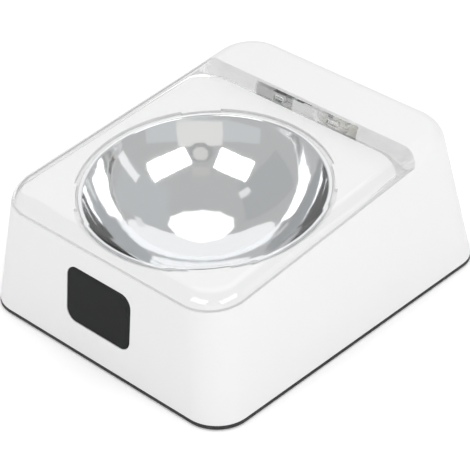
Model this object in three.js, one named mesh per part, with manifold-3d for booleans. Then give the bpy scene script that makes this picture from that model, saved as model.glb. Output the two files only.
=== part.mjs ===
// Sensor cat feeder: a white housing with a slanted deck, a steel bowl and a clear lid that a small motor lifts.
// Millimetres, +Z up, the front faces -Y, and the origin lies on the floor under the middle of the base.
import * as THREE from "three";
import { mergeVertices } from "three/addons/utils/BufferGeometryUtils.js";
import Module from "manifold-3d";

const wasm = await Module();
wasm.setup();

// Outer body: drafts are the inward run of a wall for each millimetre of height
const baseWidth = 200;
const baseLength = 252;
const topHeight = 95.1; // of the top plane over the middle of the base
const topSlope = 0.092; // its rise towards the rear, for each millimetre
const sideDraft = 0.117;
const frontDraft = 0.081;
const rearDraft = 0.219;
const cornerRadius = 22.6;
const cornerGrowth = 0.04; // how much the corner radius grows with height
const topFillet = 10.7;
const housingWall = 2.4;
const seatGap = 0.3; // between a piece and what carries it
const slipGap = 0.1; // round a piece that fits in a hole
const runningGap = 0.08; // round a shaft that turns
const overrun = 1; // how far a cut runs past the face it opens

// Deck and hump: depths are measured square down from the top plane
const partingDepth = 9.35;
const deckDepth = 10.5;
const deckThickness = 2.2;
const rimWidth = 2.3;
const humpReach = 62.8; // from the hump's front edge to the rear end of the base, along the slope
const humpEdge = baseLength / 2 - humpReach;
const humpLean = 0.35; // how far its front wall comes forward for each millimetre of depth
const humpWall = 1.8;
const roofThickness = 1.8;
const footCorner = 34; // plan radius of the bends at the ends of the wall's foot
const footInset = 40; // from the side of the base to the middle of such a bend
const footTurn = THREE.MathUtils.degToRad(35); // where the bend runs out past the rim
const crestOverrun = 0.3;
const slotWidth = 84;
const slotTop = 2.7;

// Bowl and well: the bowl's axis stands square to the deck
const bowlShift = 0.5; // forward of the deck's middle
const bowlSetback = (humpEdge - baseLength / 2) / 2 - bowlShift;
const deckMargin = 14.4; // from the recess to the nearest edge of the deck
const recessRadius = Math.min(baseWidth, baseLength / 2 + humpEdge) / 2 - deckMargin;
const landHeight = 1.8;
const landRadius = recessRadius - landHeight;
const flangeGap = 3.2; // between the flange and the recess
const flangeRadius = recessRadius - flangeGap;
const flangeWidth = 2.8;
const flangeLip = 1.5;
const bowlRim = flangeRadius - flangeWidth;
const bowlDepthShare = 0.674; // of the rim's radius
const bowlDepth = bowlRim * bowlDepthShare;
const bowlSteel = 0.9;
const bowlBend = 1.6; // radius between the bowl's wall and its flange
const bowlSink = 0.5; // from the deck down to the flange's top
const landSpan = THREE.MathUtils.degToRad(18);
const wellWall = 2;
const wellClearance = 3;
const wellThroatGap = 0.5;

// Lid
const lidPlate = 2.4;
const lidWall = 1.9;
const lidRearGap = 0.8;

// Hinge and drive: angles run round the shaft, from the rear over the top
const hingeSetback = 9; // behind the hump's front edge
const hingeDepth = 5.6;
const shaftRadius = 1.5;
const shaftLength = 118;
const hubRadius = 3.2;
const armGap = 0.35;
const armThickness = 2.25;
const armWidth = 7;
const armSpacing = 44;
const sweepGap = 0.4;
const armStart = THREE.MathUtils.degToRad(180);
const armEnd = THREE.MathUtils.degToRad(270);
const webThickness = 2.2;
const driveWidth = 20;
const driveStart = THREE.MathUtils.degToRad(171);
const driveEnd = THREE.MathUtils.degToRad(240);
const toothStart = THREE.MathUtils.degToRad(243);
const gearModule = 1;
const sectorTeeth = 24; // of the full circle
const sectorCut = 7; // teeth that the sector really has
const pinionTeeth = 12;
const pressureAngle = THREE.MathUtils.degToRad(20);
const meshAngle = THREE.MathUtils.degToRad(265);
const addendum = 0.8;
const dedendum = 1.1;
const backlash = 0.25;
const gearWidth = 8;
const bearingSpacing = 104;
const bearingWidth = 8;
const bushRadius = 3;
const bushFlange = 3.5;
const bushFlangeThickness = 1.2;
const bearingWall = 2;

// Motor and gearbox
const outputRadius = 2;
const outputReach = 8;
const gearboxStart = 12;
const gearboxWidth = 16;
const gearboxDepth = 20;
const gearboxHeight = 40;
const gearboxTop = 3.6; // over the output shaft
const gearboxCorner = 3;
const noseLength = 1.5;
const motorRadius = 10;
const motorFlats = 15.4;
const motorLength = 25;
const motorDrop = 22; // below the output shaft
const motorCap = 2;
const motorCapRadius = 5;
const bracketSheet = 2;
const bracketStart = 10;
const bracketLength = 46;
const bracketFlange = 15;
const bracketTop = 6; // depth of the flange's upper face
const bracketDrop = 62;
const bracketScrewInset = 8;

// Screws
const screwRadius = 1.25;
const headRadius = 2.8;
const headHeight = 1.8;
const screwReach = 11; // of a base screw, above the plate
const shortReach = 4; // of the small screws inside
const bossWall = 2.4;

// Base plate and feet
const plateThickness = 2.3;
const lipHeight = 4;
const lipThickness = 1.6;
const footRadius = 8;
const footHeight = 1.7;
const footProud = 1;
const footInsetX = 25; // from the side of the base
const footInsetY = 28; // from the front and the rear of the base
const screwInset = 15;
const padHeight = 2.2; // of the pads round the base screws, over the plate
const padRadius = 5;
const bossHeight = 26;
const ribThickness = 1.8;

// Batteries: four AA cells side by side
const cellRadius = 7.1;
const cellLength = 48.5;
const nubRadius = 2.7;
const nubLength = 1.2;
const cellPitch = 14.8;
const contactGap = 2.2; // from a cell's end to the contact plate
const contactSheet = 0.5;
const contactHeight = 11;
const boxWall = 1.6;
const boxFlange = 3.6;
const cellCount = 4;
const doorTravel = 6;
const doorLength = 66;
const doorLedge = 1.5;
const doorLowerEdge = 0.9;
const gripRadius = 9;
const gripDepth = 0.5;

// Control board
const boardWidth = 56;
const boardLength = 34;
const boardSheet = 1.6;
const boardInsetX = 54; // from the left side of the base to the board's middle
const boardInsetY = 44; // from the rear of the base
const standoffHeight = 8;
const standoffRadius = 3;
const standoffInset = 4;
const chipSide = 11;
const chipHeight = 1.8;
const plugWidth = 9;
const plugDepth = 5;
const plugHeight = 6;
const capacitorRadius = 4;
const capacitorHeight = 10;

// Sensor behind the front window
const windowWidth = 53;
const windowHeight = 38.5;
const windowCorner = 8;
const windowMiddle = 41.5; // height over the base plate's underside
const windowGap = 0.25;
const windowFlange = 1.6;
const windowSheet = 1.4;
const windowInset = 0.15;
const holderWidth = 46;
const holderHeight = 30;
const holderSheet = 2;
const tunnelRadius = 4.2;
const tunnelLength = 5;
const tunnelSpacing = 24;
const ledRadius = 2.5;
const ledLength = 6.5;
const ledFlange = 2.9;
const ledFlangeHeight = 1;
const sensorBoardInset = 3;
const postSpacing = 72;
const postRadius = 3.2;
const earThickness = 2;

// Power switch in the rear wall
const switchInset = 42; // from the right side of the base
const switchMiddle = 26;
const switchWidth = 12.4;
const switchHeight = 18.4;
const switchDepth = 12;
const bezelEdge = 1.4;
const bezelHeight = 1.3;
const rockerWidth = 8.6;
const rockerHeight = 13.4;
const rockerGap = 0.35;
const rockerRise = 1.4;
const rockerDepth = 4.5;
const rockerTilt = THREE.MathUtils.degToRad(8);

// Inner leads: their ways as shares of the base's half width, its half length and the top's height
const leadRadius = 1.1;
const leadStep = 12;
const leadSides = 5;
const sensorLeadShares = [
  [-0.2, -0.76, 0.22],
  [-0.36, -0.68, 0.07],
  [-0.56, -0.56, 0.04],
  [-0.6, -0.3, 0.04],
  [-0.6, 0, 0.04],
  [-0.6, 0.3, 0.04],
];
const batteryLeadShares = [
  [-0.43, 0.03, 0.063],
  [-0.45, 0.17, 0.04],
  [-0.46, 0.33, 0.04],
];
const motorLeadShares = [
  [0.64, 0.57, 0.42],
  [0.6, 0.52, 0.21],
  [0.48, 0.475, 0.06],
  [0.25, 0.45, 0.04],
  [0, 0.45, 0.04],
  [-0.2, 0.44, 0.042],
];

// Facets
const cornerSteps = 5;
const filletSteps = 4;
const bowlSides = 36;
const bowlSteps = 7;
const roundSides = 12;
const smallSides = 8;
const arcSteps = 5;
const landSteps = 3;
const recessSteps = 8;

const quarter = Math.PI / 2;
const slopeAngle = Math.atan(topSlope);
const slopeStretch = Math.hypot(1, topSlope);
const slopeMatrix = new THREE.Matrix4()
  .makeTranslation(0, 0, topHeight)
  .multiply(new THREE.Matrix4().makeRotationX(slopeAngle));

// Solids and meshes

// A closed geometry becomes a solid: vertices are welded, slivers on a lathe's axis dropped, faces turned outwards.
function solid(geometry, matrix = new THREE.Matrix4()) {
  const bare = geometry.clone().applyMatrix4(matrix);
  bare.deleteAttribute("normal");
  bare.deleteAttribute("uv");
  const welded = mergeVertices(bare);
  const index = welded.index.array;
  const kept = [];
  for (let i = 0; i < index.length; i += 3) {
    const [a, b, c] = [index[i], index[i + 1], index[i + 2]];
    if (a !== b && b !== c && c !== a) kept.push(a, b, c);
  }
  const build = (corners) =>
    new wasm.Manifold(
      new wasm.Mesh({
        numProp: 3,
        vertProperties: new Float32Array(welded.attributes.position.array),
        triVerts: new Uint32Array(corners),
      }),
    );
  const made = build(kept);
  return made.volume() < 0 ? build(kept.reverse()) : made;
}

const join = (...solids) => solids.reduce((whole, part) => whole.add(part));
const cut = (body, ...tools) => tools.reduce((left, tool) => left.subtract(tool), body);

function geometryOf(manifold) {
  const { vertProperties, triVerts } = manifold.getMesh();
  const geometry = new THREE.BufferGeometry();
  geometry.setAttribute("position", new THREE.BufferAttribute(vertProperties, 3));
  geometry.setIndex(new THREE.BufferAttribute(triVerts, 1));
  const faceted = geometry.toNonIndexed();
  faceted.computeVertexNormals();
  return faceted;
}

function addPiece(parent, name, manifold, material) {
  const mesh = new THREE.Mesh(geometryOf(manifold), material.clone());
  mesh.name = name;
  parent.add(mesh);
  return mesh;
}

// Simple forms: boxes by their low corner and size, rods and profiles along an axis

function box([x, y, z], [width, depth, height], matrix) {
  const geometry = new THREE.BoxGeometry(width, depth, height);
  geometry.translate(x + width / 2, y + depth / 2, z + height / 2);
  return solid(geometry, matrix);
}

function rod(radius, [x, y, z], height, matrix, sides = roundSides, topRadius = radius) {
  const geometry = new THREE.CylinderGeometry(topRadius, radius, height, sides);
  geometry.rotateX(quarter);
  geometry.translate(x, y, z + height / 2);
  return solid(geometry, matrix);
}

// Turns a form drawn along +Z so that it runs along +X, with its drawing's x and y along +Y and +Z.
const alongX = new THREE.Matrix4().makeBasis(
  new THREE.Vector3(0, 1, 0),
  new THREE.Vector3(0, 0, 1),
  new THREE.Vector3(1, 0, 0),
);

// Turns a form drawn along +Z so that it runs along -Y, as seen by someone who stands before the front.
const alongFront = new THREE.Matrix4().makeRotationX(quarter);

function profile(shape, start, length, turn = alongX, matrix = new THREE.Matrix4()) {
  const geometry = new THREE.ExtrudeGeometry(shape, {
    depth: length,
    bevelEnabled: false,
    curveSegments: arcSteps,
  });
  geometry.translate(0, 0, start);
  return solid(geometry, matrix.clone().multiply(turn));
}

const shapeOf = (points) => new THREE.Shape(points.map(([x, y]) => new THREE.Vector2(x, y)));

function axle(radius, start, length, [along, up], matrix, sides = roundSides) {
  const turn = new THREE.Matrix4().makeTranslation(0, along, up).multiply(alongX);
  return rod(radius, [0, 0, start], length, (matrix ?? new THREE.Matrix4()).clone().multiply(turn), sides);
}

// A lathe form round +Z: each point of its profile is [radius, height], and it closes on the axis or on itself.
function turned(points, matrix, sides = roundSides) {
  const geometry = new THREE.LatheGeometry(
    points.map(([radius, height]) => new THREE.Vector2(radius, height)),
    sides,
  );
  geometry.rotateX(quarter);
  return solid(geometry, matrix);
}

function roundedRectangle(width, height, radius) {
  const [x, y] = [width / 2 - radius, height / 2 - radius];
  const shape = new THREE.Shape();
  shape.absarc(x, y, radius, 0, quarter);
  shape.absarc(-x, y, radius, quarter, 2 * quarter);
  shape.absarc(-x, -y, radius, 2 * quarter, 3 * quarter);
  shape.absarc(x, -y, radius, 3 * quarter, 4 * quarter);
  shape.closePath();
  return shape;
}

function ringSector(innerRadius, outerRadius, from, to) {
  const shape = new THREE.Shape();
  shape.absarc(0, 0, outerRadius, from, to, false);
  shape.absarc(0, 0, innerRadius, to, from, true);
  shape.closePath();
  return shape;
}

// The drafted body

// Each point of the outline moves straight with height: its place is at + rise * height.
function draftedOutline({ half, front, rear, frontCorner, rearCorner }) {
  const corners = [
    { right: 1, back: 1, edge: rear, radius: rearCorner },
    { right: -1, back: 1, edge: rear, radius: rearCorner },
    { right: -1, back: -1, edge: front, radius: frontCorner },
    { right: 1, back: -1, edge: front, radius: frontCorner },
  ];
  return corners.flatMap(({ right, back, edge, radius }, turn) =>
    Array.from({ length: cornerSteps + 1 }, (_, step) => {
      const angle = (turn + step / cornerSteps) * quarter;
      const place = (i) => ({
        x: right * (half[i] - radius[i]) + radius[i] * Math.cos(angle),
        y: edge[i] - back * radius[i] + radius[i] * Math.sin(angle),
      });
      return { at: place(0), rise: place(1) };
    }),
  );
}

const housingOutline = (inset) =>
  draftedOutline({
    half: [baseWidth / 2 - inset, -sideDraft],
    front: [inset - baseLength / 2, frontDraft],
    rear: [baseLength / 2 - inset, -rearDraft],
    frontCorner: [cornerRadius - inset, cornerGrowth],
    rearCorner: [cornerRadius - inset, cornerGrowth],
  });

const pointAt = ({ at, rise }, height) =>
  new THREE.Vector3(at.x + rise.x * height, at.y + rise.y * height, height);

const levelRing = (outline, height) => outline.map((point) => pointAt(point, height));

const slopeRing = (outline, depth) =>
  outline.map((point) => {
    const height = topHeight - depth * slopeStretch + topSlope * point.at.y;
    return pointAt(point, height / (1 - topSlope * point.rise.y));
  });

// A closed skin over rings of equal counts: each quad is split along its shorter diagonal, each end is a fan.
function loft(rings) {
  const count = rings[0].length;
  const last = rings.length - 1;
  const centre = (ring) =>
    ring.reduce((sum, point) => sum.add(point), new THREE.Vector3()).divideScalar(count);
  const points = [...rings.flat(), centre(rings[0]), centre(rings[last])];
  const [bottom, top] = [rings.length * count, rings.length * count + 1];
  const index = [];
  for (let i = 0; i < count; i++) {
    const next = (i + 1) % count;
    index.push(bottom, next, i);
    index.push(top, last * count + i, last * count + next);
    for (let ring = 0; ring < last; ring++) {
      const [low, high] = [ring * count, (ring + 1) * count];
      const rising = points[low + i].distanceTo(points[high + next]);
      const falling = points[low + next].distanceTo(points[high + i]);
      if (rising < falling) {
        index.push(low + i, low + next, high + next);
        index.push(low + i, high + next, high + i);
      } else {
        index.push(low + i, low + next, high + i);
        index.push(low + next, high + next, high + i);
      }
    }
  }
  const geometry = new THREE.BufferGeometry().setFromPoints(points);
  geometry.setIndex(index);
  return solid(geometry);
}

// The body up to a plane under the top plane, with its upper edge rounded all round.
function roundedBody(inset, topDepth, fillet, floor) {
  const rings = [levelRing(housingOutline(inset), floor)];
  for (let i = 0; i <= filletSteps; i++) {
    const turn = (i / filletSteps) * quarter;
    const outline = housingOutline(inset + fillet * (1 - Math.cos(turn)));
    rings.push(slopeRing(outline, topDepth + fillet * (1 - Math.sin(turn))));
  }
  return loft(rings);
}

// The slab between two planes under the top plane, as wide and long as the body.
const slab = (inset, from, to) => loft([to, from].map((depth) => slopeRing(housingOutline(inset), depth)));

// The space before the hump. Its wall is ruled from the foot, which bends forward at each end, up to the crest,
// which follows the body's upper edge down to the side. Below the floor it goes on straight.
function lidSpace(run, floor, bottom = floor) {
  const corner = footCorner + run;
  const foot = (depth) => (turn) => {
    const angle = footTurn + (quarter - footTurn) * turn;
    const along = humpEdge - humpLean * depth - footCorner + corner * Math.sin(angle);
    return { x: baseWidth / 2 - footInset + corner * Math.cos(angle), along, depth };
  };
  const crest = (turn) => {
    const depth = floor - (floor + crestOverrun) * Math.sin(turn * quarter);
    const along = humpEdge + run - humpLean * depth;
    const height = topHeight + along * Math.sin(slopeAngle) - depth * Math.cos(slopeAngle);
    const side = baseWidth / 2 - sideDraft * height + crestOverrun;
    return { x: side - topFillet * (1 - Math.cos(turn * quarter)), along, depth };
  };
  const above = (turn) => ({ x: crest(turn).x, along: humpEdge + run + humpLean * overrun, depth: -overrun });
  const ring = (place, frontDepth) => {
    const right = Array.from({ length: cornerSteps + 1 }, (_, step) => place(step / cornerSteps));
    const left = [...right].reverse().map((point) => ({ ...point, x: -point.x }));
    const rear = [...right, ...left].map(({ x, along, depth }) =>
      new THREE.Vector3(x, along, -depth).applyMatrix4(slopeMatrix),
    );
    return [...rear, ...slopeRing(housingOutline(-overrun), frontDepth).slice(rear.length)];
  };
  const rings = [ring(foot(floor), floor), ring(crest, floor), ring(above, -overrun)];
  return loft(bottom > floor ? [ring(foot(bottom), bottom), ...rings] : rings);
}

// Places that several pieces share

const housingFloor = plateThickness + seatGap;
const hingeAlong = humpEdge + hingeSetback;
const hingePlace = [hingeAlong, -hingeDepth];
const armInner = Math.hypot(hingeSetback, hingeDepth) + armGap;
const armOuter = armInner + armThickness;
const sweepRadius = armOuter + sweepGap;
const sectorRadius = (gearModule * sectorTeeth) / 2;
const pinionRadius = (gearModule * pinionTeeth) / 2;
const meshDistance = sectorRadius + pinionRadius;
const pinionPlace = [
  hingeAlong + meshDistance * Math.cos(meshAngle),
  -hingeDepth + meshDistance * Math.sin(meshAngle),
];
const sphereRadius = (bowlRim ** 2 + bowlDepth ** 2) / (2 * bowlDepth);
const rimAngle = Math.asin(bowlRim / sphereRadius);
const sphereRise = sphereRadius - bowlDepth - bowlBend * (1 - Math.cos(rimAngle));
const flangeTop = -(deckDepth + bowlSink);
const seatDepth = bowlSink + flangeLip + seatGap;
const throatRadius = Math.sqrt((sphereRadius + bowlSteel) ** 2 - sphereRise ** 2) + wellThroatGap;
const pilotRadius = screwRadius + slipGap;
const bossRadius = pilotRadius + bossWall;
const bracketAlong = pinionPlace[0] + Math.max(gearboxDepth / 2, motorRadius) + seatGap;
const bracketScrewAlong = bracketAlong + bracketFlange - bracketSheet - headRadius;
const bracketScrewX = [bracketStart + bracketScrewInset, bracketStart + bracketLength - bracketScrewInset];
const boxLength = cellLength + nubLength + 2 * (contactGap + contactSheet);
const boxSpan = cellCount * cellPitch;
const boxMiddle = bowlSetback;
const cellHeight = plateThickness + 2 * seatGap + cellRadius;
const doorWidth = boxLength + 2 * doorLedge;
const baseScrewX = baseWidth / 2 - screwInset;
const baseScrewY = baseLength / 2 - screwInset;
const baseScrews = [-1, 1].flatMap((side) => [-1, 0, 1].map((end) => [side * baseScrewX, end * baseScrewY]));
const footX = baseWidth / 2 - footInsetX;
const footY = baseLength / 2 - footInsetY;
const feet = [-1, 1].flatMap((side) => [-1, 1].map((end) => [side * footX, end * footY]));
const boardX = boardInsetX - baseWidth / 2;
const boardY = baseLength / 2 - boardInsetY;
const switchX = baseWidth / 2 - switchInset;
const standoffs = [-1, 1].flatMap((side) =>
  [-1, 1].map((end) => [
    boardX + side * (boardWidth / 2 - standoffInset),
    boardY + end * (boardLength / 2 - standoffInset),
  ]),
);
const bowlMatrix = slopeMatrix.clone().multiply(new THREE.Matrix4().makeTranslation(0, bowlSetback, -deckDepth));
const windowMatrix = new THREE.Matrix4()
  .makeTranslation(0, frontDraft * windowMiddle - baseLength / 2, windowMiddle)
  .multiply(new THREE.Matrix4().makeRotationX(-Math.atan(frontDraft)));
const switchMatrix = new THREE.Matrix4()
  .makeTranslation(switchX, baseLength / 2 - rearDraft * switchMiddle, switchMiddle)
  .multiply(new THREE.Matrix4().makeRotationX(Math.atan(rearDraft)));
const socketFront = boardY - boardLength / 2 + standoffInset / 2;
const socketX = [1, 2, 3].map((i) => boardX - boardWidth / 2 + (i * boardWidth) / 4);
const socketMiddle = plateThickness + standoffHeight + seatGap + boardSheet + plugHeight / 2;
const batteryLeadY = boxMiddle + (3 / 2) * cellPitch;
const holderFront = housingWall + seatGap + windowSheet + seatGap;
const boardFront = holderFront + holderSheet + tunnelLength + sensorBoardInset;

// Housing: the drafted shell, its deck and hump, the bowl's well and what stands inside

// Four lands on the diagonals of the recess keep the bowl's flange in the middle.
function bowlRecess() {
  const points = [];
  const addArc = (radius, from, to, steps) => {
    for (let step = 0; step <= steps; step++) {
      const angle = from + ((to - from) * step) / steps;
      points.push([radius * Math.cos(angle), radius * Math.sin(angle)]);
    }
  };
  for (let i = 0; i < 4; i++) {
    const middle = (i + 1 / 2) * quarter;
    addArc(landRadius, middle - landSpan / 2, middle + landSpan / 2, landSteps);
    addArc(recessRadius, middle + landSpan / 2, middle + quarter - landSpan / 2, recessSteps);
  }
  return profile(shapeOf(points), -seatDepth, seatDepth + overrun, new THREE.Matrix4(), bowlMatrix);
}

// The well follows the bowl's sphere at one clearance, so its profile is an arc below a straight throat.
function wellProfile(grow, top) {
  const radius = sphereRadius + bowlSteel + wellClearance + grow;
  const middle = sphereRise - bowlSink;
  const throat = throatRadius + grow;
  const floor = sphereRadius + bowlSteel + wellClearance / 2 + grow - middle;
  const from = Math.asin(throat / radius);
  const to = Math.acos((floor + middle) / radius);
  const points = [
    [0, top],
    [throat, top],
  ];
  for (let i = 0; i <= bowlSteps; i++) {
    const angle = from + ((to - from) * i) / bowlSteps;
    points.push([radius * Math.sin(angle), middle - radius * Math.cos(angle)]);
  }
  points.push([0, -floor]);
  return points;
}

function wellBody() {
  const collar = recessRadius + wellWall;
  const collarFloor = -(seatDepth + wellWall);
  return join(
    turned(wellProfile(wellWall, -deckThickness / 2), bowlMatrix, bowlSides),
    turned(
      [
        [0, -deckThickness / 2],
        [collar, -deckThickness / 2],
        [collar, collarFloor],
        [0, collarFloor],
      ],
      bowlMatrix,
      bowlSides,
    ),
  );
}

// The slot under the hood, with the hollow that the arms sweep cut out of the deck's rear edge.
function armSlot() {
  const front = hingeAlong - hingeSetback - humpLean * deckDepth - overrun;
  const shape = new THREE.Shape();
  shape.moveTo(front, -slotTop);
  shape.lineTo(hingeAlong, -slotTop);
  shape.lineTo(hingeAlong, -hingeDepth - sweepRadius);
  const deckAngle = Math.PI + Math.asin((deckDepth - hingeDepth) / sweepRadius);
  shape.absarc(hingeAlong, -hingeDepth, sweepRadius, 3 * quarter, deckAngle, true);
  shape.lineTo(front, -deckDepth);
  shape.closePath();
  return profile(shape, -slotWidth / 2, slotWidth, alongX, slopeMatrix);
}

// Each bearing block hangs from the hump's roof and ends in a half round below the shaft.
function bearingBlocks() {
  const radius = bushRadius + slipGap + bearingWall;
  const shape = new THREE.Shape();
  shape.moveTo(hingeAlong + radius, -roofThickness / 2);
  shape.lineTo(hingeAlong - radius, -roofThickness / 2);
  shape.absarc(hingeAlong, -hingeDepth, radius, 2 * quarter, 4 * quarter, false);
  shape.closePath();
  const blocks = [-1, 1].map((side) => {
    const start = (side * bearingSpacing) / 2 - bearingWidth / 2;
    return cut(
      profile(shape, start, bearingWidth, alongX, slopeMatrix),
      axle(bushRadius + slipGap, start - overrun, bearingWidth + 2 * overrun, hingePlace, slopeMatrix),
    );
  });
  return join(...blocks);
}

function roofBosses() {
  const foot = -(bracketTop - seatGap);
  const height = -foot - roofThickness / 2;
  const bosses = bracketScrewX.map((x) =>
    cut(
      rod(bossRadius, [x, bracketScrewAlong, foot], height, slopeMatrix, smallSides),
      rod(pilotRadius, [x, bracketScrewAlong, foot - overrun], overrun + shortReach - seatGap, slopeMatrix, smallSides),
    ),
  );
  return join(...bosses);
}

// A base boss rises beside the wall, and a rib ties it to the wall behind it.
function baseBosses() {
  const foot = plateThickness + padHeight + seatGap;
  const bosses = baseScrews.map(([x, y]) => {
    const outwards = Math.atan2(Math.sign(y) * Math.abs(x), x);
    const turn = new THREE.Matrix4().makeTranslation(x, y, 0).multiply(new THREE.Matrix4().makeRotationZ(outwards));
    return cut(
      join(
        rod(bossRadius, [x, y, foot], bossHeight, undefined, smallSides, bossRadius * (1 - sideDraft)),
        box([0, -ribThickness / 2, foot + padHeight], [cornerRadius, ribThickness, bossHeight], turn),
      ),
      rod(pilotRadius, [x, y, foot - overrun], overrun + screwReach, undefined, smallSides),
    );
  });
  return join(...bosses);
}

// Ribs under the deck run from the bowl's collar towards the corners.
function deckRibs() {
  const ribs = [0, 1, 2, 3].map((i) => {
    const turn = new THREE.Matrix4().makeRotationZ((i + 1 / 2) * quarter);
    const drop = 3 * (seatDepth + wellWall);
    return box(
      [throatRadius + wellWall / 2, -ribThickness / 2, -drop],
      [baseWidth / 5, ribThickness, drop - deckThickness / 2],
      bowlMatrix.clone().multiply(turn),
    );
  });
  return join(...ribs);
}

function sensorPosts() {
  const start = housingWall / 2;
  const posts = [-1, 1].map((side) => {
    const x = (side * postSpacing) / 2;
    const matrix = windowMatrix.clone().multiply(new THREE.Matrix4().makeRotationX(-quarter));
    return cut(
      rod(postRadius, [x, 0, start], holderFront - seatGap - start, matrix, smallSides),
      rod(pilotRadius, [x, 0, holderFront - shortReach + overrun], shortReach, matrix, smallSides),
    );
  });
  return join(...posts);
}

function windowOpening() {
  const shape = roundedRectangle(windowWidth, windowHeight, windowCorner);
  return profile(shape, -housingWall - overrun, housingWall + 2 * overrun, alongFront, windowMatrix);
}

function switchOpening() {
  const size = [switchWidth + 2 * slipGap, housingWall + 2 * overrun, switchHeight + 2 * slipGap];
  return box([-size[0] / 2, -housingWall - overrun, -size[2] / 2], size, switchMatrix);
}

const bodySolid = roundedBody(0, 0, topFillet, housingFloor);

function upperHousing() {
  const deckFloor = deckDepth + deckThickness;
  const cavity = cut(
    roundedBody(housingWall, roofThickness, topFillet - housingWall, plateThickness),
    lidSpace(humpWall, deckFloor),
  );
  const inner = join(
    wellBody(),
    bearingBlocks(),
    roofBosses(),
    baseBosses(),
    deckRibs(),
    sensorPosts(),
  ).intersect(bodySolid);
  return cut(
    join(cut(bodySolid, cavity), inner),
    lidSpace(0, deckDepth).intersect(slab(-overrun, -overrun, partingDepth)),
    lidSpace(0, deckDepth, deckDepth + overrun).intersect(slab(rimWidth, -overrun, deckDepth)),
    turned(wellProfile(0, overrun), bowlMatrix, bowlSides),
    bowlRecess(),
    armSlot(),
    windowOpening(),
    switchOpening(),
  );
}

// Lid: a clear shallow shell with two hinge arms that hook down through the slot

function hingeArm(middle) {
  const start = middle - armWidth / 2;
  const matrix = slopeMatrix.clone().multiply(new THREE.Matrix4().makeTranslation(0, ...hingePlace));
  const web = new THREE.Shape();
  web.moveTo(-webThickness / 2, 0);
  web.lineTo(webThickness / 2, 0);
  web.lineTo(webThickness / 2, -armInner - armThickness / 2);
  web.lineTo(-webThickness / 2, -armInner - armThickness / 2);
  web.closePath();
  return cut(
    join(
      profile(ringSector(armInner, armOuter, armStart, armEnd), start, armWidth, alongX, matrix),
      profile(web, start, armWidth, alongX, matrix),
      axle(hubRadius, start, armWidth, [0, 0], matrix),
    ),
    axle(shaftRadius + runningGap, start - overrun, armWidth + 2 * overrun, [0, 0], matrix),
  );
}

function lidShell() {
  const outer = bodySolid
    .intersect(lidSpace(-lidRearGap, deckDepth - seatGap))
    .intersect(slab(-overrun, -overrun, partingDepth - seatGap));
  const inner = roundedBody(lidWall, lidPlate, topFillet - lidWall, housingFloor).intersect(
    lidSpace(-lidRearGap - lidWall, partingDepth - lidWall, partingDepth + overrun),
  );
  const arms = [-1, 1].map((side) => hingeArm((side * armSpacing) / 2));
  return join(cut(outer, inner), ...arms);
}

// Gears

const involute = (angle) => Math.tan(angle) - angle;

// Half the angle that a tooth fills at a radius.
function toothHalfAngle(pitchRadius, teeth, radius) {
  const baseRadius = pitchRadius * Math.cos(pressureAngle);
  const flank = involute(Math.acos(Math.min(1, baseRadius / radius)));
  return Math.PI / (2 * teeth) - backlash / (4 * pitchRadius) + involute(pressureAngle) - flank;
}

// The outline of a run of teeth, from the first tooth's leading root to the last one's trailing root.
function toothPoints(teeth, count, firstAngle) {
  const pitchRadius = (gearModule * teeth) / 2;
  const baseRadius = pitchRadius * Math.cos(pressureAngle);
  const root = pitchRadius - dedendum * gearModule;
  const tip = pitchRadius + addendum * gearModule;
  const start = Math.max(root, baseRadius);
  const flank = [0, 1, 2, 3].map((i) => start + ((tip - start) * i) / 3);
  const radii = root < start ? [root, ...flank] : flank;
  const points = [];
  for (let tooth = 0; tooth < count; tooth++) {
    const middle = firstAngle + (tooth * 2 * Math.PI) / teeth;
    const half = radii.map((radius) => toothHalfAngle(pitchRadius, teeth, Math.max(radius, start)));
    radii.forEach((radius, i) => points.push([radius, middle - half[i]]));
    [...radii].reverse().forEach((radius, i) => points.push([radius, middle + half[half.length - 1 - i]]));
  }
  return points.map(([radius, angle]) => [radius * Math.cos(angle), radius * Math.sin(angle)]);
}

// The drive arm hooks through the slot behind the lid's rear wall and carries on as a toothed sector.
function driveArm() {
  const hook = profile(ringSector(armInner, armOuter, driveStart, driveEnd), -driveWidth / 2, driveWidth);
  const lidFace = hingeSetback + lidRearGap - slipGap;
  const face = [0, partingDepth + hingeDepth + overrun].map((depth) => [
    -lidFace - humpLean * depth,
    hingeDepth - depth,
  ]);
  const behindLid = profile(
    shapeOf([face[0], face[1], [armOuter, face[1][1] - armOuter], [armOuter, face[0][1] + armOuter]]),
    -driveWidth / 2 - overrun,
    driveWidth + 2 * overrun,
  );
  const shoulder = [driveEnd - (toothStart - driveEnd), driveEnd].map((angle) => [
    armOuter * Math.cos(angle),
    armOuter * Math.sin(angle),
  ]);
  const first = meshAngle - (2 * Math.PI) / sectorTeeth;
  const plate = shapeOf([[0, 0], ...shoulder, ...toothPoints(sectorTeeth, sectorCut, first)]);
  return cut(
    join(
      hook.intersect(behindLid),
      profile(plate, -gearWidth / 2, gearWidth),
      axle(hubRadius, -driveWidth / 2, driveWidth, [0, 0]),
    ),
    axle(shaftRadius + runningGap, -driveWidth / 2 - overrun, driveWidth + 2 * overrun, [0, 0]),
  );
}

function driveGear() {
  const first = meshAngle - Math.PI + Math.PI / pinionTeeth;
  return cut(
    profile(shapeOf(toothPoints(pinionTeeth, pinionTeeth, first)), -gearWidth / 2, gearWidth),
    axle(outputRadius + runningGap, -gearWidth / 2 - overrun, gearWidth + 2 * overrun, [0, 0]),
  );
}

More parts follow.
